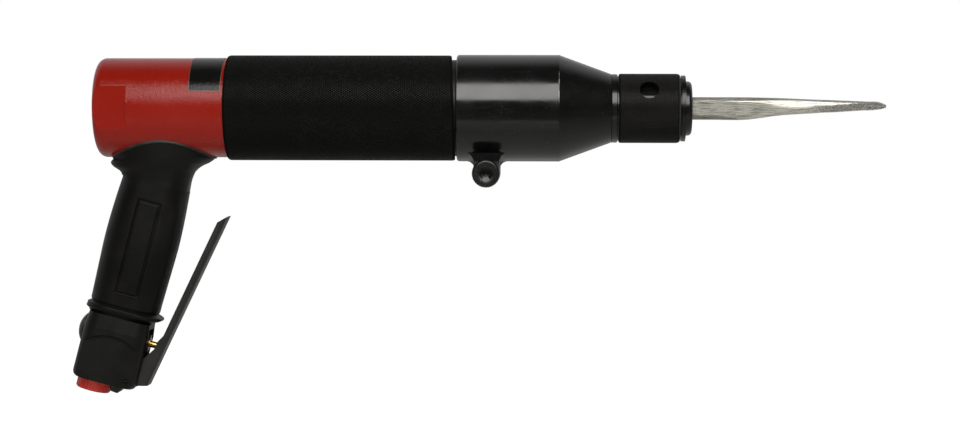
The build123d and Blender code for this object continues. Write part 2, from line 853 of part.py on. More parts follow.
friction_section = 0.78
with BuildPart() as sleeve_o_ring:
    with BuildSketch(barrel_side):
        ring_station = (ring_groove_rear + ring_groove_front) / 2
        with Locations((ring_station, journal_radius - friction_section)):
            Circle(friction_section)
    revolve(axis=barrel_axis)
sleeve_o_ring.part.label = "sleeve_o_ring"
export_step(sleeve_o_ring.part, "parts/sleeve_o_ring.step")

circlip_gap = 9.0
eye_radius = 1.0
eye_reach = 16.7
eye_angle = 21.0
with BuildPart() as circlip:
    with BuildSketch(barrel_section(circlip_rear)):
        Circle(circlip_radius)
        Circle(circlip_groove_radius + running_gap, mode=Mode.SUBTRACT)
        Rectangle(2 * circlip_radius, circlip_gap, align=(Align.MIN, Align.CENTER), mode=Mode.SUBTRACT)
        with PolarLocations(eye_reach, 2, -eye_angle, 2 * eye_angle, endpoint=True):
            Circle(eye_radius, mode=Mode.SUBTRACT)
    extrude(amount=circlip_width)
circlip.part.label = "circlip"
export_step(circlip.part, "parts/circlip.step")


# Chisel: a square shank that thins to a flat edge and spreads sideways
notch_margin = 3.9
notch_floor = 4.85
rear_bevel = 1.5
blade_sections = (
    (blade_start, shank, shank, shank_chamfer, 0.0),
    (346.0, 9.9, 13.2, 1.9, 1.0),
    (364.0, 7.9, 14.4, 1.7, 1.25),
    (382.0, 6.3, 16.4, 1.3, 1.4),
    (402.0, 4.0, edge_width - 0.5, 0.7, 1.6),
)
edge_section = (chisel_tip, 1.7, edge_width, 0.4, 1.2)
with BuildPart() as chisel:
    with BuildSketch(barrel_section(chisel_rear)):
        shank_square = Rectangle(shank, shank)
        chamfer(shank_square.vertices(), shank_chamfer)
    extrude(amount=blade_start - chisel_rear)
    chamfer(chisel.edges().group_by(Axis.X)[0], rear_bevel)
    for station, thickness, width, corner, lift in blade_sections:
        with BuildSketch(barrel_section(station, lift)):
            section = Rectangle(width, thickness)
            chamfer(section.vertices(), corner)
    loft()
    for station, thickness, width, corner, lift in (blade_sections[-1], edge_section):
        with BuildSketch(barrel_section(station, lift)):
            section = Rectangle(width, thickness)
            chamfer(section.vertices(), corner)
    loft(ruled=True)
    with BuildSketch(barrel_side):
        with Locations((ball_station - notch_margin, notch_floor)):
            notch_length = chisel_travel + 2 * notch_margin
            Rectangle(notch_length, shank, align=(Align.MIN, Align.MIN))
    extrude(amount=shank, both=True, mode=Mode.SUBTRACT)
chisel.part.label = "chisel"
export_step(chisel.part, "parts/chisel.step")


# Isolator spring: between the back of the casing and the striking gear
isolator_seat = rear_face + housing_wall
isolator_spring = coil_spring(
    seat=barrel_point + Vector(isolator_seat, 0, 0),
    direction=Vector(1, 0, 0),
    length=spring_seat - isolator_seat,
    mean_radius=17.0,
    wire_radius=1.4,
    turns=3,
)
isolator_spring.label = "isolator_spring"
export_step(isolator_spring, "parts/isolator_spring.step")


# Valve chest: feeds air from an outer groove to the disc valve at its front
slide_gap = 0.08
slide_radius = bore_radius - slide_gap
feed_groove_rear = -12.5
feed_groove_front = 3.5
feed_groove_radius = 19.5
feed_station = (feed_groove_rear + feed_groove_front) / 2
seal_section = 1.2
seal_grooves = (-16.4, 7.8)
seal_groove_half_width = 1.35
seal_groove_radius = slide_radius - 2 * seal_section
spring_boss_radius = 14.5
spring_boss_length = 3.6
chest_spigot_radius = 18.0
chest_front = 22.0
disc_chamber_depth = 2.4
disc_chamber_radius = 15.4
feed_bore = 7.0
feed_start = -9.0
port_radius = 2.2
with BuildPart() as valve_chest:
    with BuildSketch(barrel_side):
        with BuildLine():
            Polyline(
                (spring_seat - spring_boss_length, 0),
                (spring_seat - spring_boss_length, spring_boss_radius),
                (spring_seat, spring_boss_radius),
                (spring_seat, slide_radius),
                (cylinder_joint, slide_radius),
                (cylinder_joint, chest_spigot_radius),
                (chest_front, chest_spigot_radius),
                (chest_front, 0),
                close=True,
            )
        make_face()
        with Locations((feed_groove_rear, feed_groove_radius)):
            Rectangle(
                feed_groove_front - feed_groove_rear,
                slide_radius,
                align=(Align.MIN, Align.MIN),
                mode=Mode.SUBTRACT,
            )
        for station in seal_grooves:
            with Locations((station, seal_groove_radius)):
                Rectangle(
                    2 * seal_groove_half_width,
                    slide_radius,
                    align=(Align.CENTER, Align.MIN),
                    mode=Mode.SUBTRACT,
                )
        with Locations((chest_front, 0)):
            Rectangle(
                disc_chamber_depth,
                disc_chamber_radius,
                align=(Align.MAX, Align.MIN),
                mode=Mode.SUBTRACT,
            )
            Rectangle(chest_front - feed_start, feed_bore, align=(Align.MAX, Align.MIN), mode=Mode.SUBTRACT)
    revolve(axis=barrel_axis)
    with BuildSketch(Plane(origin=barrel_point + Vector(feed_station, 0, 0), z_dir=(0, 0, 1))):
        Circle(port_radius)
    extrude(amount=bore_radius, both=True, mode=Mode.SUBTRACT)
    with BuildSketch(barrel_side):
        with Locations((feed_station, 0)):
            Circle(port_radius)
    extrude(amount=bore_radius, both=True, mode=Mode.SUBTRACT)
valve_chest.part.label = "valve_chest"
export_step(valve_chest.part, "parts/valve_chest.step")

with BuildPart() as cylinder_seals:
    for station in seal_grooves:
        with BuildSketch(barrel_side):
            with Locations((station, seal_groove_radius + seal_section)):
                Circle(seal_section)
        revolve(axis=barrel_axis)
cylinder_seals.part.label = "cylinder_seals"
export_step(cylinder_seals.part, "parts/cylinder_seals.step")


# Valve disc: a loose plate in the chamber at the front of the chest
disc_radius = 15.0
disc_thickness = 1.2
disc_gap = 0.1
disc_port_ring = 11.0
disc_port_count = 6
with BuildPart() as valve_disc:
    with BuildSketch(barrel_section(chest_front - disc_gap)):
        Circle(disc_radius)
        with PolarLocations(disc_port_ring, disc_port_count):
            Circle(port_radius, mode=Mode.SUBTRACT)
    extrude(amount=-disc_thickness)
valve_disc.part.label = "valve_disc"
export_step(valve_disc.part, "parts/valve_disc.step")


# Cylinder: the striking barrel, with guide bands at both ends and exhaust ports
band_end = 26.0
front_band_start = 172.0
barrel_wall_radius = 19.4
bush_outer_radius = 14.0
inlet_port_radius = 4.0
exhaust_station = 100.0
exhaust_radius = 3.0
with BuildPart() as cylinder:
    with BuildSketch(barrel_side):
        with BuildLine():
            Polyline(
                (cylinder_joint, chest_spigot_radius + running_gap),
                (cylinder_joint, slide_radius),
                (band_end, slide_radius),
                (band_end, barrel_wall_radius),
                (front_band_start, barrel_wall_radius),
                (front_band_start, slide_radius),
                (cylinder_front, slide_radius),
                (cylinder_front, bush_outer_radius),
                (bush_rear, bush_outer_radius),
                (bush_rear, piston_radius + running_gap),
                (cylinder_floor, piston_radius + running_gap),
                (cylinder_floor, inlet_port_radius),
                (chest_front, inlet_port_radius),
                (chest_front, chest_spigot_radius + running_gap),
                close=True,
            )
        make_face()
    revolve(axis=barrel_axis)
    with BuildSketch(Plane(origin=barrel_point + Vector(exhaust_station, 0, 0), z_dir=(0, 0, 1))):
        Circle(exhaust_radius)
    extrude(amount=bore_radius, both=True, mode=Mode.SUBTRACT)
cylinder.part.label = "cylinder"
export_step(cylinder.part, "parts/cylinder.step")


# Piston, bush and anvil
end_chamfer = 1.0
strike_gap = 0.7
piston_front = bush_rear - anvil_head_length - chisel_travel - strike_gap
with BuildPart() as piston:
    with BuildSketch(barrel_section(piston_front)):
        Circle(piston_radius)
    extrude(amount=-piston_length)
    chamfer(piston.edges().filter_by(GeomType.CIRCLE), end_chamfer)
piston.part.label = "piston"
export_step(piston.part, "parts/piston.step")

with BuildPart() as front_bush:
    with BuildSketch(barrel_section(bush_rear)):
        Circle(bush_outer_radius - pin_fit)
        Circle(anvil_radius + running_gap, mode=Mode.SUBTRACT)
    extrude(amount=cylinder_front - bush_rear)
front_bush.part.label = "front_bush"
export_step(front_bush.part, "parts/front_bush.step")

contact_gap = 0.3
with BuildPart() as anvil:
    with BuildSketch(barrel_section(bush_rear - disc_gap)):
        Circle(anvil_head_radius)
    extrude(amount=-anvil_head_length)
    with BuildSketch(barrel_section(bush_rear - disc_gap)):
        Circle(anvil_radius)
    extrude(amount=chisel_rear - contact_gap - bush_rear + disc_gap)
    end_edges = anvil.edges().group_by(Axis.X)
    chamfer(end_edges[0] + end_edges[-1], end_chamfer)
anvil.part.label = "anvil"
export_step(anvil.part, "parts/anvil.step")


# Front buffer: the rubber ring that the cylinder comes to rest on
with BuildPart() as front_buffer:
    with BuildSketch(barrel_section(tube_lip_rear)):
        Circle(bore_radius - disc_gap)
        Circle(bush_outer_radius, mode=Mode.SUBTRACT)
    extrude(amount=-(tube_lip_rear - cylinder_front - contact_gap))
front_buffer.part.label = "front_buffer"
export_step(front_buffer.part, "parts/front_buffer.step")
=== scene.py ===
import json
import math

import bpy
import numpy as np
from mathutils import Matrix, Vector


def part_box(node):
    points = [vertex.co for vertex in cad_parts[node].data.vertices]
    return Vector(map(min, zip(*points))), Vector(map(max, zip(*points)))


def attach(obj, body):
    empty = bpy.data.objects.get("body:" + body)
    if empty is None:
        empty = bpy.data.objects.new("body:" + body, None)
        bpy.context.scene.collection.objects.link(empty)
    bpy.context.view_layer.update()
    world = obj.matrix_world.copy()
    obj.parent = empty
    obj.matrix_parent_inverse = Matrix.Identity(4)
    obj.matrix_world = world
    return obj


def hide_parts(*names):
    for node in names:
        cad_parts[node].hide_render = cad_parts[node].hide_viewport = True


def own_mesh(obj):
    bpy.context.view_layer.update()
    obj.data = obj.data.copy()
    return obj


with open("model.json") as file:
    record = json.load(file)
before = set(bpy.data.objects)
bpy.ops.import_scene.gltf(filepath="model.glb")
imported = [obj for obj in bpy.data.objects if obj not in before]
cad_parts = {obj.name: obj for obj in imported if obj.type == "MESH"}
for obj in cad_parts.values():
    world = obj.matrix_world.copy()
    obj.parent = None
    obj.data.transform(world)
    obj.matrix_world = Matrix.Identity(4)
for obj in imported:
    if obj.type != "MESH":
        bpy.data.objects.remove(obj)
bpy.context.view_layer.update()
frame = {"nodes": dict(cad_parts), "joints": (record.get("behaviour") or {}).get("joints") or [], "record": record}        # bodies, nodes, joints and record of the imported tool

nodes = frame["nodes"]
mounts = {mount["name"]: mount for mount in frame["record"]["mounts"]}
joints = {joint["name"]: joint for joint in frame["joints"]}

# Directions of the handle, and the point where its axis meets the barrel's axis
handleUp = np.array(mounts["hand_grip"]["axis"])
handleForward = -np.array(joints["valve_push"]["axis"])
toLeft = np.array([0.0, 1.0, 0.0])
tubeLow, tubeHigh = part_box("barrel_tube")
axisHeight = (tubeLow.z + tubeHigh.z) / 2
barrelPoint = handleUp * axisHeight / handleUp[2]
print("frame loaded:", len(nodes), "nodes")


def placeObject(name, data):
    item = bpy.data.objects.new(name, data)
    bpy.context.scene.collection.objects.link(item)
    return item


# Studio: the camera stands where the photograph was taken, a little ahead of and above the frame's middle
photoFrame = {
    "width": 960, "height": 448,
    "axisRow": 108.3,          # row of the barrel's axis
    "crossingColumn": 175.06,  # column where handle and barrel axes cross
    "roll": 0.116,             # degrees
    "facingColumn": 559.5, "facingRow": 145.0,   # of the point that the camera stands square to
    "metresPerPixel": 0.000575,
    "distance": 1.320,
    "sensor": 36.0,
    "clipStart": 0.01,
}


def placeCamera(view):
    data = bpy.data.cameras.new("photoCamera")
    camera = placeObject("photoCamera", data)

    def place(column, row, near):
        across = (column - view["crossingColumn"]) * view["metresPerPixel"]
        down = (row - view["axisRow"]) * view["metresPerPixel"]
        return np.array([barrelPoint[0] + across, -near, axisHeight - down])

    stand = place(view["facingColumn"], view["facingRow"], view["distance"])
    aim = place(view["width"] / 2, view["height"] / 2, 0.0) - stand
    reach = math.sqrt(aim @ aim)
    camera.location = stand
    tilt = math.acos(-aim[2] / reach)
    camera.rotation_euler = (tilt, -math.radians(view["roll"]), math.atan2(-aim[0], aim[1]))
    data.sensor_width = view["sensor"]
    data.lens = view["sensor"] * reach / (view["metresPerPixel"] * view["width"])
    data.clip_start = view["clipStart"]
    bpy.context.scene.camera = camera


placeCamera(photoFrame)

studio = {
    "centre": (0.19, 0.0, 0.06),   # what the lamps point at
    "softboxDistance": 1.25,
    "softboxRise": 35.5,           # degrees above level, on the camera's side
    "softboxes": {                 # shift along the barrel, size and power
        "keySoftbox": (-0.12, (0.52, 0.80), 7.3),
        "sheetSoftbox": (0.38, (0.44, 0.80), 5.6),
    },
    "sheets": {                    # place, size and power
        "fillSheet": ((-0.05, -1.35, -0.20), (1.2, 0.8), 9.0),
        "rearSheet": ((0.15, 1.20, 0.95), (1.2, 0.8), 8.0),
    },
    "lampColor": (1.0, 0.983, 0.95),
    "frontLevel": 0.05,            # the room behind the camera
    "backLevel": 0.58,             # the wall behind the tool
    "wallEdges": (0.05, 0.60),     # where the room turns into the wall
    "wallSweep": 0.45,             # how far that wall comes round at both ends
    "floorDrop": 0.60,             # floor below the grip
    "floorSize": 14.0,
    "floorNear": (0.32, 0.32, 0.315),    # near the camera, and far behind the tool
    "floorFar": (0.92, 0.92, 0.91),
    "floorFade": (-0.5, 0.9),
    "floorRoughness": 0.9,
    "floorLift": 0.85,             # what the camera sees on top of the lit floor
}


def placeLamp(name, place, target, size, power, color):
    data = bpy.data.lights.new(name, "AREA")
    data.shape = "RECTANGLE"
    data.size, data.size_y = size
    data.energy = power
    data.color = color
    lamp = placeObject(name, data)
    lamp.location = place
    aim = np.array(target) - np.array(place)
    lamp.rotation_euler = (math.atan2(math.hypot(aim[0], aim[1]), -aim[2]), 0, math.atan2(-aim[0], aim[1]))
    return lamp


# Softboxes that glossy pieces mirror, and sheets that they don't
def placeLamps(look):
    rise = math.radians(look["softboxRise"])
    reach = look["softboxDistance"] * np.array([0, -math.cos(rise), math.sin(rise)])
    for name, (shift, size, power) in look["softboxes"].items():
        target = np.array(look["centre"]) + (shift, 0, 0)
        placeLamp(name, target + reach, target, size, power, look["lampColor"])
    for name, (place, size, power) in look["sheets"].items():
        sheet = placeLamp(name, place, look["centre"], size, power, look["lampColor"])
        sheet.visible_glossy = False


# Puts a number, a colour, a direction or another node's output into a socket
def feed(socket, value):
    if isinstance(value, (int, float)):
        socket.default_value = value
    elif isinstance(value, tuple):
        socket.default_value = (*value, 1)[:len(socket.default_value)]
    else:
        socket.id_data.links.new(value, socket)


# Adds a node with its settings, feeds its sockets by name or number, and gives its outputs
def addNode(tree, kind, inputs, **settings):
    node = tree.nodes.new("ShaderNode" + kind)
    for name, value in settings.items():
        setattr(node, name, value)
    for label, value in inputs.items():
        feed(node.inputs[label], value)
    return node.outputs


def mathNode(tree, operation, *values):
    return addNode(tree, "Math", dict(enumerate(values)), operation=operation)[0]


def product(tree, first, *others):
    for other in others:
        first = mathNode(tree, "MULTIPLY", first, other)
    return first


# Moves a value from one pair of limits to another, with smooth ends unless another shape is asked for
def rangeNode(tree, value, start, end=(0.0, 1.0), shape="SMOOTHSTEP"):
    labels = ("Value", "From Min", "From Max", "To Min", "To Max")
    inputs = dict(zip(labels, (value, *start, *end)))
    return addNode(tree, "MapRange", inputs, interpolation_type=shape)["Result"]


# A share that falls to 0 as a coordinate leaves a place
def nearness(tree, value, place, edges, full=1.0):
    away = mathNode(tree, "ABSOLUTE", mathNode(tree, "SUBTRACT", value, place))
    return rangeNode(tree, away, edges, (full, 0.0))


# A colour between two others by a mask: sockets 6 and 7 take the colours, and output 2 gives the mix
def colorMix(tree, mask, first, second):
    return addNode(tree, "Mix", {"Factor": mask, 6: first, 7: second}, data_type="RGBA")[2]


def coordinates(tree, kind="Object"):
    return addNode(tree, "TexCoord", {})[kind]


def splitPlace(tree, kind="Object"):
    return addNode(tree, "SeparateXYZ", {0: coordinates(tree, kind)})


def cameraRay(tree):
    return addNode(tree, "LightPath", {})["Is Camera Ray"]


def startMaterial(name):
    material = bpy.data.materials.new(name)
    material.use_nodes = True
    return material, material.node_tree, material.node_tree.nodes["Principled BSDF"].inputs


# World: white to the camera, and to the tool a bright back wall and a dim room in front
def placeWorld(look):
    world = bpy.data.worlds.new("studioRoom")
    bpy.context.scene.world = world
    world.use_nodes = True
    tree = world.node_tree
    tree.nodes.clear()
    place = splitPlace(tree, "Generated")
    depth = mathNode(tree, "ADD", place["Y"], product(tree, place["X"], place["X"], look["wallSweep"]))
    wall = rangeNode(tree, depth, look["wallEdges"], (look["frontLevel"], look["backLevel"]))
    strength = addNode(tree, "Mix", {"Factor": cameraRay(tree), "A": wall, "B": 1.0})["Result"]
    room = addNode(tree, "Background", {"Color": (1, 1, 1), "Strength": strength})[0]
    addNode(tree, "OutputWorld", {"Surface": room})


# Floor: pale and lit by the lamps, lifted to white for the camera, so that the shadow stays
def placeFloor(look):
    corners = np.array([[-1, -1], [1, -1], [1, 1], [-1, 1]]) * look["floorSize"] / 2
    points = np.column_stack([corners, np.full(4, -look["floorDrop"])])
    mesh = bpy.data.meshes.new("paleFloor")
    mesh.from_pydata(points.tolist(), [], [(0, 1, 2, 3)])
    material, tree, shader = startMaterial("palePaper")
    fade = rangeNode(tree, splitPlace(tree)["Y"], look["floorFade"], shape="LINEAR")
    feed(shader["Base Color"], colorMix(tree, fade, look["floorNear"], look["floorFar"]))
    feed(shader["Roughness"], look["floorRoughness"])
    feed(shader["Emission Color"], (1, 1, 1))
    feed(shader["Emission Strength"], product(tree, cameraRay(tree), look["floorLift"]))
    mesh.materials.append(material)
    floor = placeObject("paleFloor", mesh)


bpy.context.scene.view_settings.view_transform = "Standard"
placeLamps(studio)
placeWorld(studio)
placeFloor(studio)
print("studio placed")


# Shared effects as node groups: each reads object coordinates and gives values that change over the surface
def startGroup(name, inputs, outputs):
    group = bpy.data.node_groups.new(name, "ShaderNodeTree")
    for label, value in inputs.items():
        kind = "NodeSocketVector" if isinstance(value, tuple) else "NodeSocketFloat"
        socket = group.interface.new_socket(name=label, in_out="INPUT", socket_type=kind)
        socket.default_value = value
    for label in outputs:
        group.interface.new_socket(name=label, in_out="OUTPUT", socket_type="NodeSocketFloat")
    return group, group.nodes.new("NodeGroupInput").outputs, group.nodes.new("NodeGroupOutput").inputs


def noiseNode(tree, vector, scale, detail=2.0, roughness=0.5):
    inputs = {"Vector": vector, "Scale": scale, "Detail": detail, "Roughness": roughness}
    return addNode(tree, "TexNoise", inputs)["Fac"]


# Fine grain: a coarse and a fine noise added, for the skin of paint, castings and rubber
def makeFineGrain():
    group, start, end = startGroup("fineGrain", {"Scale": 800.0, "Fineness": 3.5, "Share": 0.4}, ["Height"])
    place = coordinates(group)
    coarse = noiseNode(group, place, start["Scale"])
    fine = noiseNode(group, place, product(group, start["Scale"], start["Fineness"]))
    feed(end["Height"], mathNode(group, "ADD", coarse, product(group, fine, start["Share"])))
    return group


# Smudges: wide soft patches that move a value between two limits
def makeSmudges(edges=(0.35, 0.65)):
    group, start, end = startGroup("smudges", {"Scale": 40.0, "Low": 0.3, "High": 0.5}, ["Value", "Mask"])
    patch = noiseNode(group, coordinates(group), start["Scale"], detail=4.0, roughness=0.6)
    feed(end["Value"], rangeNode(group, patch, edges, (start["Low"], start["High"])))
    feed(end["Mask"], rangeNode(group, patch, edges))
    return group


# Drawn lines: noise stretched along one direction, which may be turned about the sideways axis, for grinding
# marks, turning marks and scuffs
def makeDrawnLines(cut=0.62):
    inputs = {"Stretch": (0.03, 1.0, 1.0), "Scale": 2500.0, "Sharpness": 0.12, "Turn": 0.0}
    group, start, end = startGroup("drawnLines", inputs, ["Height", "Mask"])
    turned = {"Vector": coordinates(group), "Angle": start["Turn"]}
    turned = addNode(group, "VectorRotate", turned, rotation_type="Y_AXIS")[0]
    drawn = addNode(group, "VectorMath", {0: turned, 1: start["Stretch"]}, operation="MULTIPLY")[0]
    streak = noiseNode(group, drawn, start["Scale"], detail=3.0, roughness=0.65)
    low = mathNode(group, "SUBTRACT", cut, start["Sharpness"])
    feed(end["Height"], streak)
    feed(end["Mask"], rangeNode(group, streak, (low, cut)))
    return group


# Specks: sparse small dots, more of them in some patches, as dust or chipped paint leaves them
def makeSpecks(patchScale=60.0, patchShare=0.35, edges=(0.18, 0.30)):
    group, start, end = startGroup("specks", {"Scale": 500.0, "Cut": 0.70}, ["Mask"])
    place = coordinates(group)
    dots = noiseNode(group, place, start["Scale"], detail=0.0)
    both = mathNode(group, "ADD", dots, product(group, noiseNode(group, place, patchScale), patchShare))
    limits = [mathNode(group, "ADD", start["Cut"], edge) for edge in edges]
    feed(end["Mask"], rangeNode(group, both, limits))
    return group


fineGrain = makeFineGrain()
smudges = makeSmudges()
drawnLines = makeDrawnLines()
specks = makeSpecks()


def useGroup(tree, group, inputs):
    return addNode(tree, "Group", inputs, node_tree=group)


# Bump: heights in metres, one after the other on the same normal
def addBump(tree, shader, height, depth):
    inputs = {"Strength": 1.0, "Distance": depth, "Height": height}
    if shader["Normal"].links:
        inputs["Normal"] = shader["Normal"].links[0].from_socket
    feed(shader["Normal"], addNode(tree, "Bump", inputs)["Normal"])


# Tint: the base colour moves towards the tint's colour by a mask, and by the tint's share if it has one
def addTint(tree, shader, look, tint, mask):
    base = shader["Base Color"]
    before = base.links[0].from_socket if base.links else tuple(base.default_value)[:3]
    if tint + "Share" in look:
        mask = product(tree, mask, look[tint + "Share"])
    feed(base, colorMix(tree, mask, before, look[tint + "Color"]))


# A share between 0 and 1 that the piece's own points carry
def pointShare(tree, name):
    return addNode(tree, "Attribute", {}, attribute_name=name)["Fac"]


# Casing: orange peel in the paint, which hardly shows on the two spanner flats
def peelPaint(tree, shader, patch, look):
    place = splitPlace(tree)
    aside = mathNode(tree, "ABSOLUTE", place["Y"])
    atFlat = nearness(tree, aside, look["flatAside"], look["flatEdges"], look["flatSmoothness"])
    behind = rangeNode(tree, place["X"], barrelPoint[0] + np.array(look["flatEnds"]), (1.0, 0.0))
    skin = mathNode(tree, "SUBTRACT", 1.0, product(tree, atFlat, behind))
    peel = useGroup(tree, fineGrain, look["peel"])["Height"]
    addBump(tree, shader, product(tree, peel, skin), look["peelDepth"])


# Knurl: rough in the grooves, and another colour on the flat diamonds
def tintKnurl(tree, shader, look):
    raised = pointShare(tree, "raisedShare")
    smooth = product(tree, shader["Roughness"].links[0].from_socket, raised)
    rough = product(tree, mathNode(tree, "SUBTRACT", 1.0, raised), look["grooveRoughness"])
    feed(shader["Roughness"], mathNode(tree, "ADD", smooth, rough))
    addTint(tree, shader, look, "raised", raised)
    return raised


# Barrel sleeve: scuffs that cross each other on the diamonds
def scuffRubber(tree, shader, patch, look):
    raised = tintKnurl(tree, shader, look)
    scuffs = [useGroup(tree, drawnLines, {**look["scuffs"], "Turn": turn})["Mask"]
              for turn in look["scuffTurns"]]
    crossed = mathNode(tree, "MAXIMUM", *scuffs)
    addTint(tree, shader, look, "scuff", product(tree, crossed, raised, patch))


# Retaining sleeve: rubbed diamonds, and a paler front edge that is worn steel and painted highlight
def rubKnurlAndPaintEdge(tree, shader, patch, look):
    raised = tintKnurl(tree, shader, look)
    addTint(tree, shader, look, "rubbed", product(tree, raised, patch))
    # The front edge's pale ring is worn steel and a painted highlight where its rounding catches the light
    front = barrelPoint[0] + look["edgeStation"]
    edge = nearness(tree, splitPlace(tree)["X"], front, look["edgeHighlightSpread"], look["edgeHighlightMost"])
    addTint(tree, shader, look, "edge", edge)


# Collar: a painted highlight on its lip, stronger in some patches
def paintRimHighlight(tree, shader, patch, look):
    patchy = rangeNode(tree, patch, (0.0, 1.0), (look["rimHighlightLeast"], 1.0))
    addTint(tree, shader, look, "rim", product(tree, pointShare(tree, "rimShare"), patchy))


# Screw: the black finish is rubbed off the tops of the grain where the piece says so
def rubScrew(tree, shader, patch, look):
    grain = useGroup(tree, fineGrain, look["flakes"])["Height"]
    addTint(tree, shader, look, "worn", product(tree, pointShare(tree, "wornShare"), grain))
    addBump(tree, shader, grain, look["flakeDepth"])


# Front tube: dull lug, pocket paled by dust and painted light, scratches, dust, painted glint on the cone's
# edge
def wearOxidePaintGlint(tree, shader, patch, look):
    place = splitPlace(tree)
    lug = rangeNode(tree, place["Z"], axisHeight - np.array(look["lugDrops"]), (look["lugRoughness"], 0.0))
    feed(shader["Roughness"], mathNode(tree, "ADD", shader["Roughness"].links[0].from_socket, lug))
    addTint(tree, shader, look, "scratch", useGroup(tree, drawnLines, look["scratches"])["Mask"])
    # The pocket above the lug is paler with dust and with painted light that lifts the shade under its top
    # edge
    low = mathNode(tree, "SUBTRACT", place["Z"], axisHeight)
    squares = mathNode(tree, "ADD", product(tree, low, low), product(tree, place["Y"], place["Y"]))
    inside = rangeNode(tree, mathNode(tree, "SQRT", squares), look["pocketRadii"], (1.0, 0.0))
    atLug = nearness(tree, place["X"], barrelPoint[0] + look["lugStation"], look["pocketReach"])
    addTint(tree, shader, look, "pocket", product(tree, atLug, inside))
    addTint(tree, shader, look, "dust", useGroup(tree, specks, look["dust"])["Mask"])
    # Painted highlight: pale metal colour along the cone's front edge, kept to its upper near side where the
    # key light glints, in patches
    atEdge = nearness(tree, place["X"], barrelPoint[0] + look["coneStation"], look["coneSpread"])
    onGlintArc = nearness(tree, place["Z"], axisHeight + look["glintArcRise"], look["glintArcSpread"])
    glintBreaks = useGroup(tree, specks, look["glintBreaks"])["Mask"]
    patchy = rangeNode(tree, glintBreaks, (0.0, 1.0), (look["glintBreakLeast"], 1.0))
    addTint(tree, shader, look, "worn", product(tree, atEdge, onGlintArc, patchy))


# Chisel: fine and wide grinding lines, and forged scale, duller and pitted, where the piece says so
def grindSteel(tree, shader, patch, look):
    fine, wide = (useGroup(tree, drawnLines, look[name]) for name in ("fineLines", "wideLines"))
    addTint(tree, shader, look, "fine", fine["Mask"])
    addTint(tree, shader, look, "wide", wide["Mask"])
    addBump(tree, shader, fine["Height"], look["lineDepth"])
    forged = pointShare(tree, "forgedShare")
    scale = useGroup(tree, fineGrain, look["scale"])["Height"]
    sparkle = rangeNode(tree, scale, look["sparkleEdges"], (0.0, look["sparkleMost"]))
    addTint(tree, shader, look, "sparkle", sparkle)
    pits = rangeNode(tree, scale, look["pitEdges"], (look["pitLeast"], 1.0))
    addTint(tree, shader, look, "scale", product(tree, pits, forged))
    dulled = product(tree, forged, look["scaleDulling"])
    feed(shader["Metallic"], mathNode(tree, "SUBTRACT", 1.0, dulled))
    addBump(tree, shader, scale, look["sparkleDepth"])
    addBump(tree, shader, product(tree, scale, forged), look["scaleDepth"])


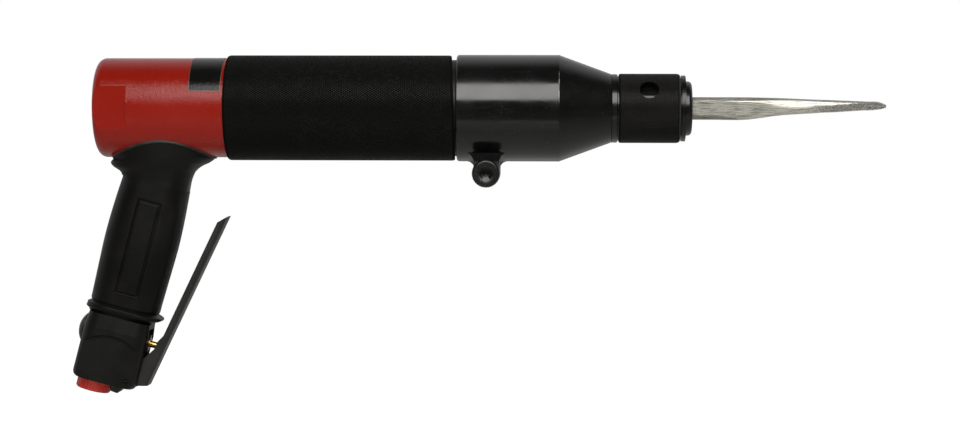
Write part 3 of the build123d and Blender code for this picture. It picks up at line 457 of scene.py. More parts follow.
# Finishes, each with the nodes it goes on and what is drawn on top. Smudges are the size of the patches and
# the roughness they move between, and grain or lines stand out by the depth in metres.
finishes = {
    "redPaint": {
        "nodes": ["rear_housing"], "color": (0.250, 0.0092, 0.0038), "specular": 0.36, "detail": peelPaint,
        "smudges": (30.0, 0.11, 0.17), "patchShare": 0.25, "patchColor": (0.276, 0.0115, 0.005),
        "peel": {"Scale": 1050.0, "Fineness": 2.0, "Share": 0.5}, "peelDepth": 0.00011,
        "flatAside": 0.0260, "flatEdges": (0.00005, 0.00020), "flatEnds": (-0.0242, -0.0240),
        "flatSmoothness": 0.85,
    },
    "barrelRubber": {
        "nodes": ["barrel_sleeve"], "color": (0.0020, 0.0020, 0.0018), "specular": 0.09,
        "detail": scuffRubber, "smudges": (35.0, 0.28, 0.42), "grain": {"Scale": 2600.0}, "depth": 0.00002,
        "grooveRoughness": 0.9, "raisedColor": (0.0050, 0.0050, 0.0046),
        "scuffs": {"Stretch": (0.07, 1.0, 1.0), "Scale": 700.0, "Sharpness": 0.07},
        "scuffTurns": (0.60, -0.60), "scuffColor": (0.0105, 0.0105, 0.0095),
    },
    "gripRubber": {
        "nodes": ["grip_sleeve"], "color": (0.0038, 0.0038, 0.0033), "specular": 0.19,
        "smudges": (45.0, 0.38, 0.54), "patchShare": 0.5, "patchColor": (0.0054, 0.0052, 0.0045),
        "grain": {"Scale": 1500.0}, "depth": 0.00004,
    },
    "collarPlastic": {
        "nodes": ["saddle_collar"], "color": (0.0052, 0.0052, 0.0047), "specular": 0.2, "detail": paintRimHighlight,
        "smudges": (50.0, 0.36, 0.52), "grain": {"Scale": 1300.0}, "depth": 0.00004,
        # The lip bead's colour is a painted highlight
        "rimHighlightLeast": 0.4, "rimColor": (0.045, 0.044, 0.040),
    },
    "blackCasting": {
        "nodes": ["throttle_body", "valve_cap"], "color": (0.0058, 0.0058, 0.0054), "specular": 0.22,
        "smudges": (60.0, 0.34, 0.50), "patchShare": 0.4, "patchColor": (0.0078, 0.0078, 0.0072),
        "grain": {"Scale": 900.0, "Share": 0.6}, "depth": 0.00006,
    },
    "leverPaint": {
        "nodes": ["throttle_lever"], "color": (0.0165, 0.016, 0.0152),
        "smudges": (70.0, 0.32, 0.44), "grain": {"Scale": 1600.0}, "depth": 0.00003,
    },
    "blackOxide": {
        "nodes": ["front_tube", "chisel_holder"], "color": (0.0030, 0.0030, 0.0030), "ior": 1.55,
        "detail": wearOxidePaintGlint,
        "smudges": (45.0, 0.14, 0.23), "patchShare": 0.3, "patchColor": (0.0042, 0.0041, 0.0038),
        "lines": {"Stretch": (1.0, 0.02, 0.02), "Scale": 2600.0}, "depth": 0.000004,
        "lugStation": 0.1795, "lugDrops": (0.0308, 0.0300), "lugRoughness": 0.30,
        # The pocket's pale colour is dust and painted light that lifts its shade
        "pocketReach": (0.0100, 0.0110), "pocketRadii": (0.0296, 0.0301),
        "pocketColor": (0.0200, 0.0196, 0.0184),
        "scratches": {"Stretch": (0.05, 1.0, 1.0), "Scale": 900.0, "Sharpness": 0.04, "Turn": 0.10},
        "scratchShare": 0.25, "scratchColor": (0.016, 0.0155, 0.0145),
        "dust": {"Scale": 1100.0, "Cut": 0.755}, "dustShare": 0.3, "dustColor": (0.08, 0.078, 0.072),
        # The cone's front edge carries a painted highlight on its upper near side
        "coneStation": 0.2207, "coneSpread": (0.00005, 0.00026),
        "glintArcRise": 0.0115, "glintArcSpread": (0.0045, 0.0100), "wornColor": (0.36, 0.35, 0.31),
        "glintBreaks": {"Scale": 300.0, "Cut": 0.38}, "glintBreakLeast": 0.35,
    },
    "gapSteel": {
        "nodes": ["barrel_tube"], "color": (0.0060, 0.0056, 0.0050), "specular": 0.3,
        "smudges": (120.0, 0.34, 0.50),
        "lines": {"Stretch": (1.0, 0.05, 0.05), "Scale": 3000.0}, "depth": 0.00002,
    },
    "screwSteel": {
        "nodes": ["clamp_screw", "lever_pin", "circlip"], "color": (0.0030, 0.0030, 0.0026), "specular": 0.48,
        "detail": rubScrew, "smudges": (160.0, 0.15, 0.27), "wornColor": (0.014, 0.0136, 0.0120),
        "flakes": {"Scale": 1700.0, "Fineness": 2.0, "Share": 0.6}, "flakeDepth": 0.00005,
    },
    "knurledSteel": {
        "nodes": ["retaining_sleeve"], "color": (0.0008, 0.0008, 0.0007), "specular": 0.21,
        "detail": rubKnurlAndPaintEdge, "smudges": (80.0, 0.24, 0.36),
        "grooveRoughness": 0.85, "raisedColor": (0.0070, 0.0069, 0.0060),
        "rubbedShare": 0.4, "rubbedColor": (0.014, 0.0138, 0.0125),
        # The front edge's colour is worn steel and a painted highlight
        "edgeStation": 0.2891, "edgeHighlightSpread": (0.0002, 0.0006), "edgeHighlightMost": 0.8,
        "edgeColor": (0.045, 0.0445, 0.041),
    },
    "groundSteel": {
        "nodes": ["chisel"], "color": (0.60, 0.59, 0.53), "roughness": 0.40, "detail": grindSteel,
        "fineLines": {"Stretch": (0.04, 1.0, 1.0), "Scale": 2500.0, "Sharpness": 0.14},
        "fineShare": 0.85, "fineColor": (0.18, 0.175, 0.145), "lineDepth": 0.00009,
        "wideLines": {"Stretch": (0.10, 1.0, 1.0), "Scale": 700.0, "Sharpness": 0.12},
        "wideShare": 0.30, "wideColor": (0.36, 0.35, 0.30),
        "scale": {"Scale": 1500.0, "Fineness": 2.0, "Share": 0.7}, "scaleDepth": 0.00020,
        "scaleColor": (0.150, 0.148, 0.138), "scaleDulling": 0.65, "pitEdges": (0.60, 1.02), "pitLeast": 0.60,
        "sparkleEdges": (0.78, 1.00), "sparkleMost": 0.4, "sparkleColor": (0.30, 0.295, 0.25),
        "sparkleDepth": 0.00005,
    },
    "turnedBrass": {
        "nodes": ["valve_stem", "stem_bush", "inlet_strainer"], "color": (0.66, 0.44, 0.13), "metallic": 1.0,
        "smudges": (200.0, 0.18, 0.34),
        "lines": {"Stretch": (1.0, 0.05, 1.0), "Scale": 4000.0}, "depth": 0.000008,
    },
    "capPlastic": {
        "nodes": ["transit_cap"], "color": (0.42, 0.024, 0.014),
        "smudges": (120.0, 0.30, 0.46), "patchShare": 0.35, "patchColor": (0.47, 0.040, 0.023),
        "grain": {"Scale": 1800.0}, "depth": 0.00003,
    },
    "sealRubber": {
        "nodes": ["handle_o_rings", "valve_seal", "stem_o_ring", "sleeve_o_ring", "cylinder_seals",
                  "front_buffer"],
        "color": (0.012, 0.012, 0.012), "smudges": (150.0, 0.5, 0.7),
    },
    "plainSteel": {
        "nodes": ["handle_stem", "valve_spring", "isolator_spring", "locking_ball", "valve_chest", "cylinder",
                  "piston", "front_bush", "anvil", "valve_disc"],
        "color": (0.36, 0.36, 0.35), "metallic": 1.0, "smudges": (60.0, 0.25, 0.40),
        "lines": {"Stretch": (1.0, 0.03, 0.03), "Scale": 2400.0}, "depth": 0.00001,
    },
    "brightFoil": {
        "nodes": [], "color": (0.14, 0.14, 0.13), "metallic": 1.0, "smudges": (150.0, 0.42, 0.58),
    },
    "blackEnamel": {
        "nodes": [], "color": (0.0042, 0.0042, 0.0040), "specular": 0.30,
        "smudges": (120.0, 0.12, 0.20), "grain": {"Scale": 700.0}, "depth": 0.00008,
    },
}
shaderSockets = {
    "color": "Base Color", "roughness": "Roughness", "metallic": "Metallic", "specular": "Specular IOR Level",
    "ior": "IOR",
}


def makeFinish(name, look):
    material, tree, shader = startMaterial(name)
    for setting, label in shaderSockets.items():
        if setting in look:
            feed(shader[label], look[setting])
    patch = None
    if "smudges" in look:
        smudge = useGroup(tree, smudges, dict(zip(("Scale", "Low", "High"), look["smudges"])))
        feed(shader["Roughness"], smudge["Value"])
        patch = smudge["Mask"]
    if "patchColor" in look:
        addTint(tree, shader, look, "patch", patch)
    if "detail" in look:
        look["detail"](tree, shader, patch, look)
    for kind, group in (("grain", fineGrain), ("lines", drawnLines)):
        if kind in look:
            addBump(tree, shader, useGroup(tree, group, look[kind])["Height"], look["depth"])
    return material


materials = {name: makeFinish(name, look) for name, look in finishes.items()}
for name, look in finishes.items():
    for member in look["nodes"]:
        slots = nodes[member].data.materials
        slots.clear()
        slots.append(materials[name])
print("finishes made:", len(materials))


# Pieces: each shape is worked out as whole arrays and put into a mesh that rides on its body. A piece's
# dictionary also names the share that its points carry for the finish.
def putPiece(name, look, points, faces, shares=None):
    mesh = bpy.data.meshes.new(name)
    mesh.from_pydata(points.reshape(-1, 3).tolist(), [], faces)
    mesh.polygons.foreach_set("use_smooth", np.ones(len(mesh.polygons), dtype=bool))
    mesh.set_sharp_from_angle(angle=math.radians(look["sharpAngle"]))
    mesh.materials.append(materials[look["finish"]])
    mesh.update()
    if shares is not None:
        layer = mesh.attributes.new(look["share"], "FLOAT", "POINT")
        layer.data.foreach_set("value", np.asarray(shares, dtype=np.float32).ravel())
    piece = placeObject(name, mesh)
    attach(piece, look["body"])
    return piece


# Quads between neighbouring rows of a grid whose columns close on themselves, and its rows too when asked
def ringQuads(rows, columns, closed=False):
    index = np.arange(rows * columns).reshape(rows, columns)
    if closed:
        index = np.vstack([index, index[:1]])
    beside = np.roll(index, -1, axis=1)
    return np.stack([index[:-1], beside[:-1], beside[1:], index[1:]], axis=-1).reshape(-1, 4)


# Each quad of corners in order as two triangles
def halves(quads):
    return np.vstack([quads[:, [0, 1, 2]], quads[:, [0, 2, 3]]])


# Caps of a grid with open ends: one polygon over the first row and one over the last
def endCaps(rows, columns):
    ring = np.arange(columns)
    return [ring[::-1].tolist(), (ring + (rows - 1) * columns).tolist()]


# Even steps of a whole turn
def fullTurn(columns):
    return np.arange(columns) * 2 * math.pi / columns


# Directions round a circle, from one at angle 0 towards another at a quarter turn
def circle(angle, first, second):
    return np.cos(angle)[:, None] * first + np.sin(angle)[:, None] * second


# A smooth line through knots: Hermite cubics, with each slope taken from the neighbouring knots
def smoothLine(at, knots, values):
    knots, values = np.array(knots), np.array(values)
    slopes = np.gradient(values, knots)
    span = np.clip(np.searchsorted(knots, at) - 1, 0, len(knots) - 2)
    width = knots[span + 1] - knots[span]
    t = (at - knots[span]) / width
    return ((1 + 2 * t) * (1 - t) ** 2 * values[span] + t * (1 - t) ** 2 * width * slopes[span]
            + t**2 * (3 - 2 * t) * values[span + 1] + t**2 * (t - 1) * width * slopes[span + 1])


# A step that rises smoothly from 0 to 1 between two places
def softStep(value, low, high):
    t = np.clip((value - low) / (high - low), 0, 1)
    return t * t * (3 - 2 * t)


# A line with its first and last values repeated
def doubledEnds(line):
    return np.concatenate([line[:1], line, line[-1:]])


# Points round the barrel's axis, from stations ahead of the crossing, radii and angles.
# Angle 0 is the near side, and a quarter turn is the top.
def aroundBarrel(station, radius, angle):
    ahead, near, high = np.broadcast_arrays(station, radius * np.cos(angle), radius * np.sin(angle))
    return np.stack([barrelPoint[0] + ahead, -near, axisHeight + high], axis=-1)


# Knurled ring: a closed outline of stations and radii turned round the barrel. Between its two rounded ends
# the even points of the grid are the crossings of the grooves. Each odd point becomes a small flat diamond:
# four points that lie part of the way to its neighbours, raised by the knurl's depth, with sloping sides down
# to the grooves.
def knurledRing(look):
    columns = 2 * round(2 * math.pi * look["radius"] / look["pitchAround"])
    turn = 2 * math.pi / columns
    rise = np.linspace(0, math.pi / 2, look["endRows"])
    rear = look["rear"] + look["rearRound"] * (1 - np.sin(rise))
    front = look["front"] - look["frontRound"] * (1 - np.sin(rise))
    middleRows = 2 * round((front[0] - rear[0]) / look["pitchAlong"]) - 1
    middle = np.linspace(rear[0], front[0], middleRows + 2)
    edge = look["radius"] - look["depth"]
    rearRadius = edge - look["rearRound"] * (1 - np.cos(rise))
    frontRadius = edge - look["frontRound"] * (1 - np.cos(rise))
    bore = [look["bore"]]
    station = np.concatenate([[look["rear"]], rear[::-1], middle[1:-1], front, [look["front"]]])
    radius = np.concatenate([bore, rearRadius[::-1], np.full(middleRows, edge), frontRadius, bore])
    rows = len(station)
    low, high = look["endRows"], rows - look["endRows"] - 1
    index = np.arange(rows * columns).reshape(rows, columns)
    row, column = np.indices((rows, columns))
    odd = (row + column) % 2 == 1

    def place(station, radius, angle):
        reach = (station - look["rear"]) / (look["front"] - look["rear"])
        lean = look["frontLean"] * np.cos(angle - look["leanAngle"])
        return aroundBarrel(station + reach * lean, radius, angle).reshape(-1, 3)

    # Flat diamonds: the corners lie towards the neighbours ahead, beside, behind and beside again
    r, c = np.nonzero(odd & (row > low) & (row < high))
    stepAround, stepAlong = np.array([1, 0, -1, 0]), np.array([0, 1, 0, -1])
    spacing = middle[1] - middle[0]
    flatPoints = place(station[r][:, None] + look["flatShare"] * spacing * stepAlong, look["radius"],
                       (c[:, None] + look["flatShare"] * stepAround) * turn)
    groove = index[r[:, None] + stepAlong, (c[:, None] + stepAround) % columns]
    flat = rows * columns + np.arange(4 * len(r)).reshape(-1, 4)
    sides = np.stack([groove, np.roll(groove, -1, axis=1), np.roll(flat, -1, axis=1), flat], axis=-1)

    # Half diamonds along the two ends of the knurl, and the plain rows beyond them
    first, last = (np.nonzero(odd[bound])[0] for bound in (low, high))
    halfLow = [[index[low, (first - 1) % columns], index[low, first], index[low + 1, first]],
               [index[low, first], index[low, (first + 1) % columns], index[low + 1, first]]]
    halfHigh = [[index[high - 1, last], index[high, last], index[high, (last - 1) % columns]],
                [index[high - 1, last], index[high, (last + 1) % columns], index[high, last]]]
    ends = np.concatenate([np.stack(corners, axis=-1) for corners in halfLow + halfHigh])
    plain = ringQuads(rows, columns, closed=True).reshape(rows, columns, 4)
    plain = np.concatenate([plain[:low], plain[high:]]).reshape(-1, 4)
    faces = np.vstack([halves(flat), halves(sides.reshape(-1, 4)), ends, halves(plain)])
    points = np.vstack([place(station[:, None], radius[:, None], np.arange(columns) * turn), flatPoints])
    used, faces = np.unique(faces, return_inverse=True)
    return points[used], faces.reshape(-1, 3).tolist(), used >= rows * columns


barrelSleeve = {
    "finish": "barrelRubber", "body": "root", "slot": "sleeve_rubber",
    "share": "raisedShare", "sharpAngle": 24,
    "rear": 0.0307, "front": 0.1601,   # stations of its ends, ahead of the crossing of the axes
    "radius": 0.03015, "bore": 0.02765,
    "pitchAlong": 0.00205, "pitchAround": 0.00135,   # from one diamond to the next
    "depth": 0.00022,
    "flatShare": 0.52,      # how much of a diamond is flat
    "rearRound": 0.0009, "frontRound": 0.0007, "endRows": 6,
    "frontLean": 0.00150,   # the front end isn't cut quite square: it reaches furthest near the bottom
    "leanAngle": math.radians(-40),
}
barrelRubberSleeve = putPiece("barrelRubberSleeve", barrelSleeve, *knurledRing(barrelSleeve))
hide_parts("barrel_sleeve")
print("barrel sleeve:", len(barrelRubberSleeve.data.polygons), "triangles")


retainingSleeve = {
    "finish": "knurledSteel", "body": "sleeve", "slot": "knurled_steel",
    "share": "raisedShare", "sharpAngle": 24,
    "rear": 0.2547, "front": 0.2897,
    "radius": 0.0198, "bore": 0.01558,
    "pitchAlong": 0.00195, "pitchAround": 0.00135,
    "depth": 0.00022,
    "flatShare": 0.44,
    "rearRound": 0.0005, "frontRound": 0.0013, "endRows": 6,
    "frontLean": 0.0, "leanAngle": 0.0,
    "holeStation": 0.2717, "holeRadius": 0.0055, "holeColumns": 72,
    "holeAngle": math.radians(32.5),   # above the near side
}


# Hole: a round bar from inside the bore to outside the sleeve is taken away from the piece, and the result is
# kept as the piece's own mesh
def cutHole(piece, look):
    columns, turn = look["holeColumns"], look["holeAngle"]
    out = np.array([0, -math.cos(turn), math.sin(turn)])
    over = np.array([0, math.sin(turn), math.cos(turn)])
    centre = np.array([barrelPoint[0] + look["holeStation"], 0, axisHeight])
    reach = np.array([look["bore"] / 2, 2 * look["radius"]])[:, None, None]
    points = centre + reach * out + look["holeRadius"] * circle(fullTurn(columns), np.array([1, 0, 0]), over)
    bar = bpy.data.meshes.new("holeCutter")
    bar.from_pydata(points.reshape(-1, 3).tolist(), [], ringQuads(2, columns).tolist() + endCaps(2, columns))
    cutter = placeObject("holeCutter", bar)
    cut = piece.modifiers.new("cut", "BOOLEAN")
    cut.operation = "DIFFERENCE"
    cut.solver = "EXACT"
    cut.object = cutter
    bpy.context.view_layer.update()
    whole = piece.data
    piece.data = bpy.data.meshes.new_from_object(piece.evaluated_get(bpy.context.evaluated_depsgraph_get()))
    piece.modifiers.clear()
    bpy.data.objects.remove(cutter)
    for mesh in (bar, whole):
        bpy.data.meshes.remove(mesh)


knurledSleeve = putPiece("knurledSleeve", retainingSleeve, *knurledRing(retainingSleeve))
cutHole(knurledSleeve, retainingSleeve)
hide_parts("retaining_sleeve")
print("retaining sleeve:", len(knurledSleeve.data.polygons), "faces")


clampScrew = {
    "finish": "screwSteel", "body": "root", "slot": "screw_steel",
    "share": "wornShare", "sharpAngle": 32,
    "station": 0.1795, "drop": 0.0372,   # of its axis, ahead of the crossing and below the barrel's axis
    "seat": 0.0165,         # the lug's seat, out from the middle
    "headRadius": 0.0081, "headHeight": 0.0100, "headRound": 0.0013,
    "roundRows": (20, 38, 56, 74),    # degrees round the head's upper edge, and how worn it is there
    "roundWear": (0, 0, 0.5, 1),
    "underCut": 0.0008, "underRise": 0.0005,   # the head's lower edge, in from its side and up from the seat
    "ribCount": 54, "ribDepth": 0.00030,
    "socketHalf": 0.0035,   # half across the hexagon's flats
    "socketMouth": 0.0044, "mouthSlope": 0.44, "mouthWear": 0.6,
    "socketDepth": 0.0042, "floorSlope": 0.44,
    "pilotRadius": 0.0024, "pilotDepth": 0.0062, "pilotWear": 0.5,   # the drilled hole in the socket's floor
    "pointDepth": 0.0004, "pointRadius": 0.0003,   # the drill's point, and the small flat at its end
    "wearStep": 0.0001,     # over which worn edges turn black
    "shankRadius": 0.0050, "length": 0.0320,
    "tipShare": 0.85,       # the flat at the shank's tip against the thread's core
    "threadPitch": 0.0015, "threadDepth": 0.00085,
    "threadEnd": 0.0040,    # plain shank left under the head
    "rowsPerPitch": 8, "columns": 324,
}


# Clamp screw: rows of heights and radii round its own axis. The head's side has ribs, the socket's radius is
# that of a hexagon and its mouth a cone that meets the hexagon, and the thread is a ridge whose phase turns
# once per pitch. Each row also says how much of the black finish is rubbed off.
def screwRows(look):
    columns = look["columns"]
    angle, even = fullTurn(columns), np.ones(columns)
    hexagon = look["socketHalf"] / np.cos((angle % (math.pi / 3)) - math.pi / 6)
    length, threadEnd, pitch, ridge = (look[name] for name in
                                       ("length", "threadEnd", "threadPitch", "threadDepth"))
    shank, pilotRadius, step = (look[name] for name in ("shankRadius", "pilotRadius", "wearStep"))
    threadRows = round(look["rowsPerPitch"] * (length - threadEnd) / pitch)
    height = np.linspace(ridge - length, -threadEnd, threadRows)[:, None]
    saw = np.abs(2 * ((height / pitch + angle / (2 * math.pi)) % 1) - 1)
    thread = shank - ridge * saw * softStep(-threadEnd - height, 0, pitch)
    top, rounding, rib = (look[name] for name in ("headHeight", "headRound", "ribDepth"))
    side = look["headRadius"] - rib * np.abs(np.sin(angle * look["ribCount"] / 2))
    face = look["headRadius"] - rounding
    bend = np.radians(look["roundRows"])
    edge = zip(top - rounding * (1 - np.sin(bend)), face + rounding * np.cos(bend) - rib, look["roundWear"])
    mouth = top - look["mouthSlope"] * np.maximum(look["socketMouth"] - hexagon, 0)
    floor, bottom = top - look["socketDepth"], top - look["pilotDepth"]
    pilot = floor - look["floorSlope"] * (look["socketHalf"] - pilotRadius)
    rows = [
        (-length, look["tipShare"] * (shank - ridge), 0), (-length, shank - ridge, 0),
        *[(h, r, 0) for h, r in zip(height, thread)],
        (-ridge, shank, 0), (0, shank, 0), (0, look["headRadius"] - look["underCut"], 0),
        (look["underRise"], side, 0), (top - rounding, side, 0), *edge, (top, face - rib, 1),
        (top, look["socketMouth"] + step, 1), (mouth, hexagon, look["mouthWear"]), (mouth - step, hexagon, 0),
        (floor, hexagon, 0), (pilot, pilotRadius, look["pilotWear"]), (pilot - step, pilotRadius, 0),
        (bottom, pilotRadius, 0), (bottom - look["pointDepth"], look["pointRadius"], 0),
    ]
    heights, radii = (np.vstack([row[part] * even for row in rows]) for part in (0, 1))
    wear = [worn for h, r, worn in rows]
    x, y, z = barrelPoint[0] + look["station"], -look["seat"], axisHeight - look["drop"]
    points = np.stack([x + radii * np.cos(angle), y - heights, z + radii * np.sin(angle)], axis=-1)
    faces = ringQuads(len(rows), columns).tolist() + endCaps(len(rows), columns)
    return points, faces, np.repeat(wear, columns)


socketScrew = putPiece("socketScrew", clampScrew, *screwRows(clampScrew))
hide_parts("clamp_screw")
print("clamp screw:", len(socketScrew.data.polygons), "faces")


gripMoulding = {
    "finish": "gripRubber", "body": "root", "slot": "grip_rubber", "sharpAngle": 60,
    "stations": (0.0450, 0.0620, 0.0800, 0.0980, 0.1172),
    "halfDepths": (0.01955, 0.02055, 0.0210, 0.02055, 0.0200),
    "beadStations": (0.1172, 0.1186, 0.1193, 0.1200, 0.1210, 0.1220, 0.1228, 0.1236, 0.1246),
    "beadHalfDepths": (0.0200, 0.0200, 0.0206, 0.0216, 0.0220, 0.0217, 0.0208, 0.0195, 0.0189),
    "beadShifts": (0.0, 0.0001, 0.0004, 0.0007, 0.00095, 0.0003, -0.0004, -0.0006, -0.0007),
    "flatness": 0.83, "corner": 0.0145, "bore": 0.01355,
    "step": 0.00038,
    "roundShare": 0.85,        # a quarter's length against its depth and width added
    "heldColumns": 0.0120,     # the sides' columns run straight down this far from the middle
    # The bare panel's frame on both sides
    "panelStation": 0.0830, "panelShift": 0.0014, "panelHalfWidth": 0.0062, "panelHalfLength": 0.0273,
    "lineHalfWidth": 0.00085, "lineFlat": 0.4, "lineDepth": 0.00105,
    # A crease above the bead, and the roll under it
    "creaseStation": 0.1185, "creaseWidth": 0.00045, "creaseDepth": 0.00055,
    "rollStation": 0.1198, "rollWidth": 0.00060, "rollHeight": 0.00035,
    # An edge along both sides of the finger face, which rises below the top and runs out about the bead
    "edgeTurn": math.radians(48), "edgeHighlightSpread": math.radians(13), "edgeHeight": 0.00070,
    "edgeRise": 0.012, "edgeEnd": (-0.0008, 0.001),
    # Fine ribs under the fingers
    "ribPitch": 0.0014, "ribDepth": 0.00016, "ribHalfWidth": 0.0105, "ribFull": 0.7,
    "ribStart": 0.0800, "ribEnd": 0.1150, "ribFade": 0.002,
}


# Rounded rectangle: along a quarter of the section the distance runs straight for depth minus corner, round a
# quarter circle and straight again, and the other quarters mirror it. Gives the points' offsets forward and
# sideways, how far the normal has turned to the front or back, and the signs of the quarters. Up to the held
# distance the points stay the same distance apart whatever the section's size.
def roundedSection(depth, width, corner, perQuarter, held=0.0):
    part, t = np.divmod(np.arange(4 * perQuarter) / perQuarter, 1)
    part = part.astype(int)
    arc = corner * math.pi / 2
    quarter = depth - corner + arc + width - corner
    ease = np.where(part % 2 == 0, t, 1 - t)
    distance = ease * quarter
    if held:
        distance = np.where(ease < 0.5, 2 * ease * held, held + (2 * ease - 1) * (quarter - held))
    bend = np.clip((distance - depth + corner) / corner, 0, math.pi / 2)
    forward = np.clip(distance, 0, depth - corner) + corner * np.sin(bend)
    inward = np.clip(distance - depth + corner - arc, 0, width - corner)
    sideways = width - corner + corner * np.cos(bend) - inward
    return forward, sideways, bend, np.where(part < 2, 1, -1), np.where((part == 0) | (part == 3), 1, -1)


# Grip: a rounded rectangle carried down the handle. The frame's groove, the crease, the roll, the edges of
# the finger face and its ribs move the points along the section's normal.
def gripGrid(look):
    top, bottom = look["stations"][0], look["beadStations"][-1]
    beadTop = look["beadStations"][0]
    station = np.linspace(top, bottom, round((bottom - top) / look["step"]))
    bead = station > beadTop
    inBead = np.maximum(station, beadTop)
    upper = smoothLine(np.minimum(station, beadTop), look["stations"], look["halfDepths"])
    lower = smoothLine(inBead, look["beadStations"], look["beadHalfDepths"])
    shift = smoothLine(inBead, look["beadStations"], look["beadShifts"])[:, None] * bead[:, None]
    depth = np.where(bead, lower, upper)[:, None]
    perQuarter = round(float(depth.max()) * (1 + look["flatness"]) * look["roundShare"] / look["step"])
    forward, sideways, bend, ahead, left = roundedSection(depth, look["flatness"] * depth, look["corner"],
                                                          perQuarter, look["heldColumns"])
    down = station[:, None]

    def hump(value, middle, width):
        return np.exp(-((value - look[middle]) / look[width]) ** 2)

    frameEdge = np.maximum(np.abs(ahead * forward - look["panelShift"]) - look["panelHalfWidth"],
                           np.abs(down - look["panelStation"]) - look["panelHalfLength"])
    line = 1 - softStep(np.abs(frameEdge), look["lineFlat"] * look["lineHalfWidth"], look["lineHalfWidth"])
    crease = hump(down, "creaseStation", "creaseWidth")
    roll = hump(down, "rollStation", "rollWidth")
    edgeStart, edgeEnd = (beadTop + place for place in look["edgeEnd"])
    fingerEdge = (hump(bend, "edgeTurn", "edgeHighlightSpread") * (ahead > 0)
                  * softStep(down, top, top + look["edgeRise"]) * (1 - softStep(down, edgeStart, edgeEnd)))
    ribZone = ((1 - softStep(sideways, look["ribFull"] * look["ribHalfWidth"], look["ribHalfWidth"]))
               * (ahead > 0)
               * softStep(down, look["ribStart"], look["ribStart"] + look["ribFade"])
               * (1 - softStep(down, look["ribEnd"] - look["ribFade"], look["ribEnd"])))
    rib = 0.5 + 0.5 * np.cos(2 * math.pi * down / look["ribPitch"])
    move = (look["edgeHeight"] * fingerEdge + look["rollHeight"] * roll - look["lineDepth"] * line
            - look["creaseDepth"] * crease - look["ribDepth"] * rib * ribZone)
    forward = ahead * (forward + move * np.sin(bend)) + shift
    sideways = left * (sideways + move * np.cos(bend))
    around = np.arctan2(sideways[0], forward[0])
    bore = look["bore"] * np.stack([np.cos(around), np.sin(around)])
    forward = np.vstack([bore[:1], forward, bore[:1]])[:, :, None]
    sideways = np.vstack([bore[1:], sideways, bore[1:]])[:, :, None]
    down = doubledEnds(station)[:, None, None]
    points = barrelPoint - down * handleUp + forward * handleForward + sideways * toLeft
    return points, ringQuads(len(down), 4 * perQuarter, closed=True).tolist()


rubberGrip = putPiece("rubberGrip", gripMoulding, *gripGrid(gripMoulding))
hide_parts("grip_sleeve")
print("grip:", len(rubberGrip.data.polygons), "quads")


saddleMoulding = {
    "finish": "collarPlastic", "body": "root", "slot": "moulded_collar",
    "sharpAngle": 50,
    # Heights from the barrel's axis, and the section's sizes there
    "heights": (-0.0540, -0.0470, -0.0400, -0.0365, -0.0336, -0.0314, -0.0290, -0.0270, -0.0100),
    "halfDepths": (0.02025, 0.0200, 0.0199, 0.0216, 0.0256, 0.0286, 0.0293, 0.0293, 0.0293),
    "halfWidths": (0.0164, 0.0164, 0.0164, 0.0172, 0.0186, 0.0195, 0.0200, 0.0202, 0.0216),
    "corners": (0.0135, 0.0135, 0.0135, 0.0142, 0.0160, 0.0176, 0.0190, 0.0192, 0.0205),
    "shifts": (-0.0140, -0.01245, -0.01065, -0.0104, -0.0107, -0.0091, -0.0068, -0.0066, -0.0066),
    "ovalShare": 0.85,         # how far the section turns from a rounded rectangle into an oval at the casing
    "ovalRange": (-0.0420, -0.0290),
    "casing": 0.0285,
    "seam": 0.0450, "bossEnd": 0.0420,   # stations of the grip's top and of the end of the casing's boss
    "boss": 0.01605, "bore": 0.01355,
    "perQuarter": 90, "rows": 60, "casingRows": 6,
    "rounds": 12,              # how often the ends of the columns are moved
}
lipBead = {
    "finish": "collarPlastic", "body": "root", "slot": "moulded_collar",
    "share": "rimShare", "sharpAngle": 32,
    "radius": 0.00095, "outset": 0.00005, "columns": 6,
}


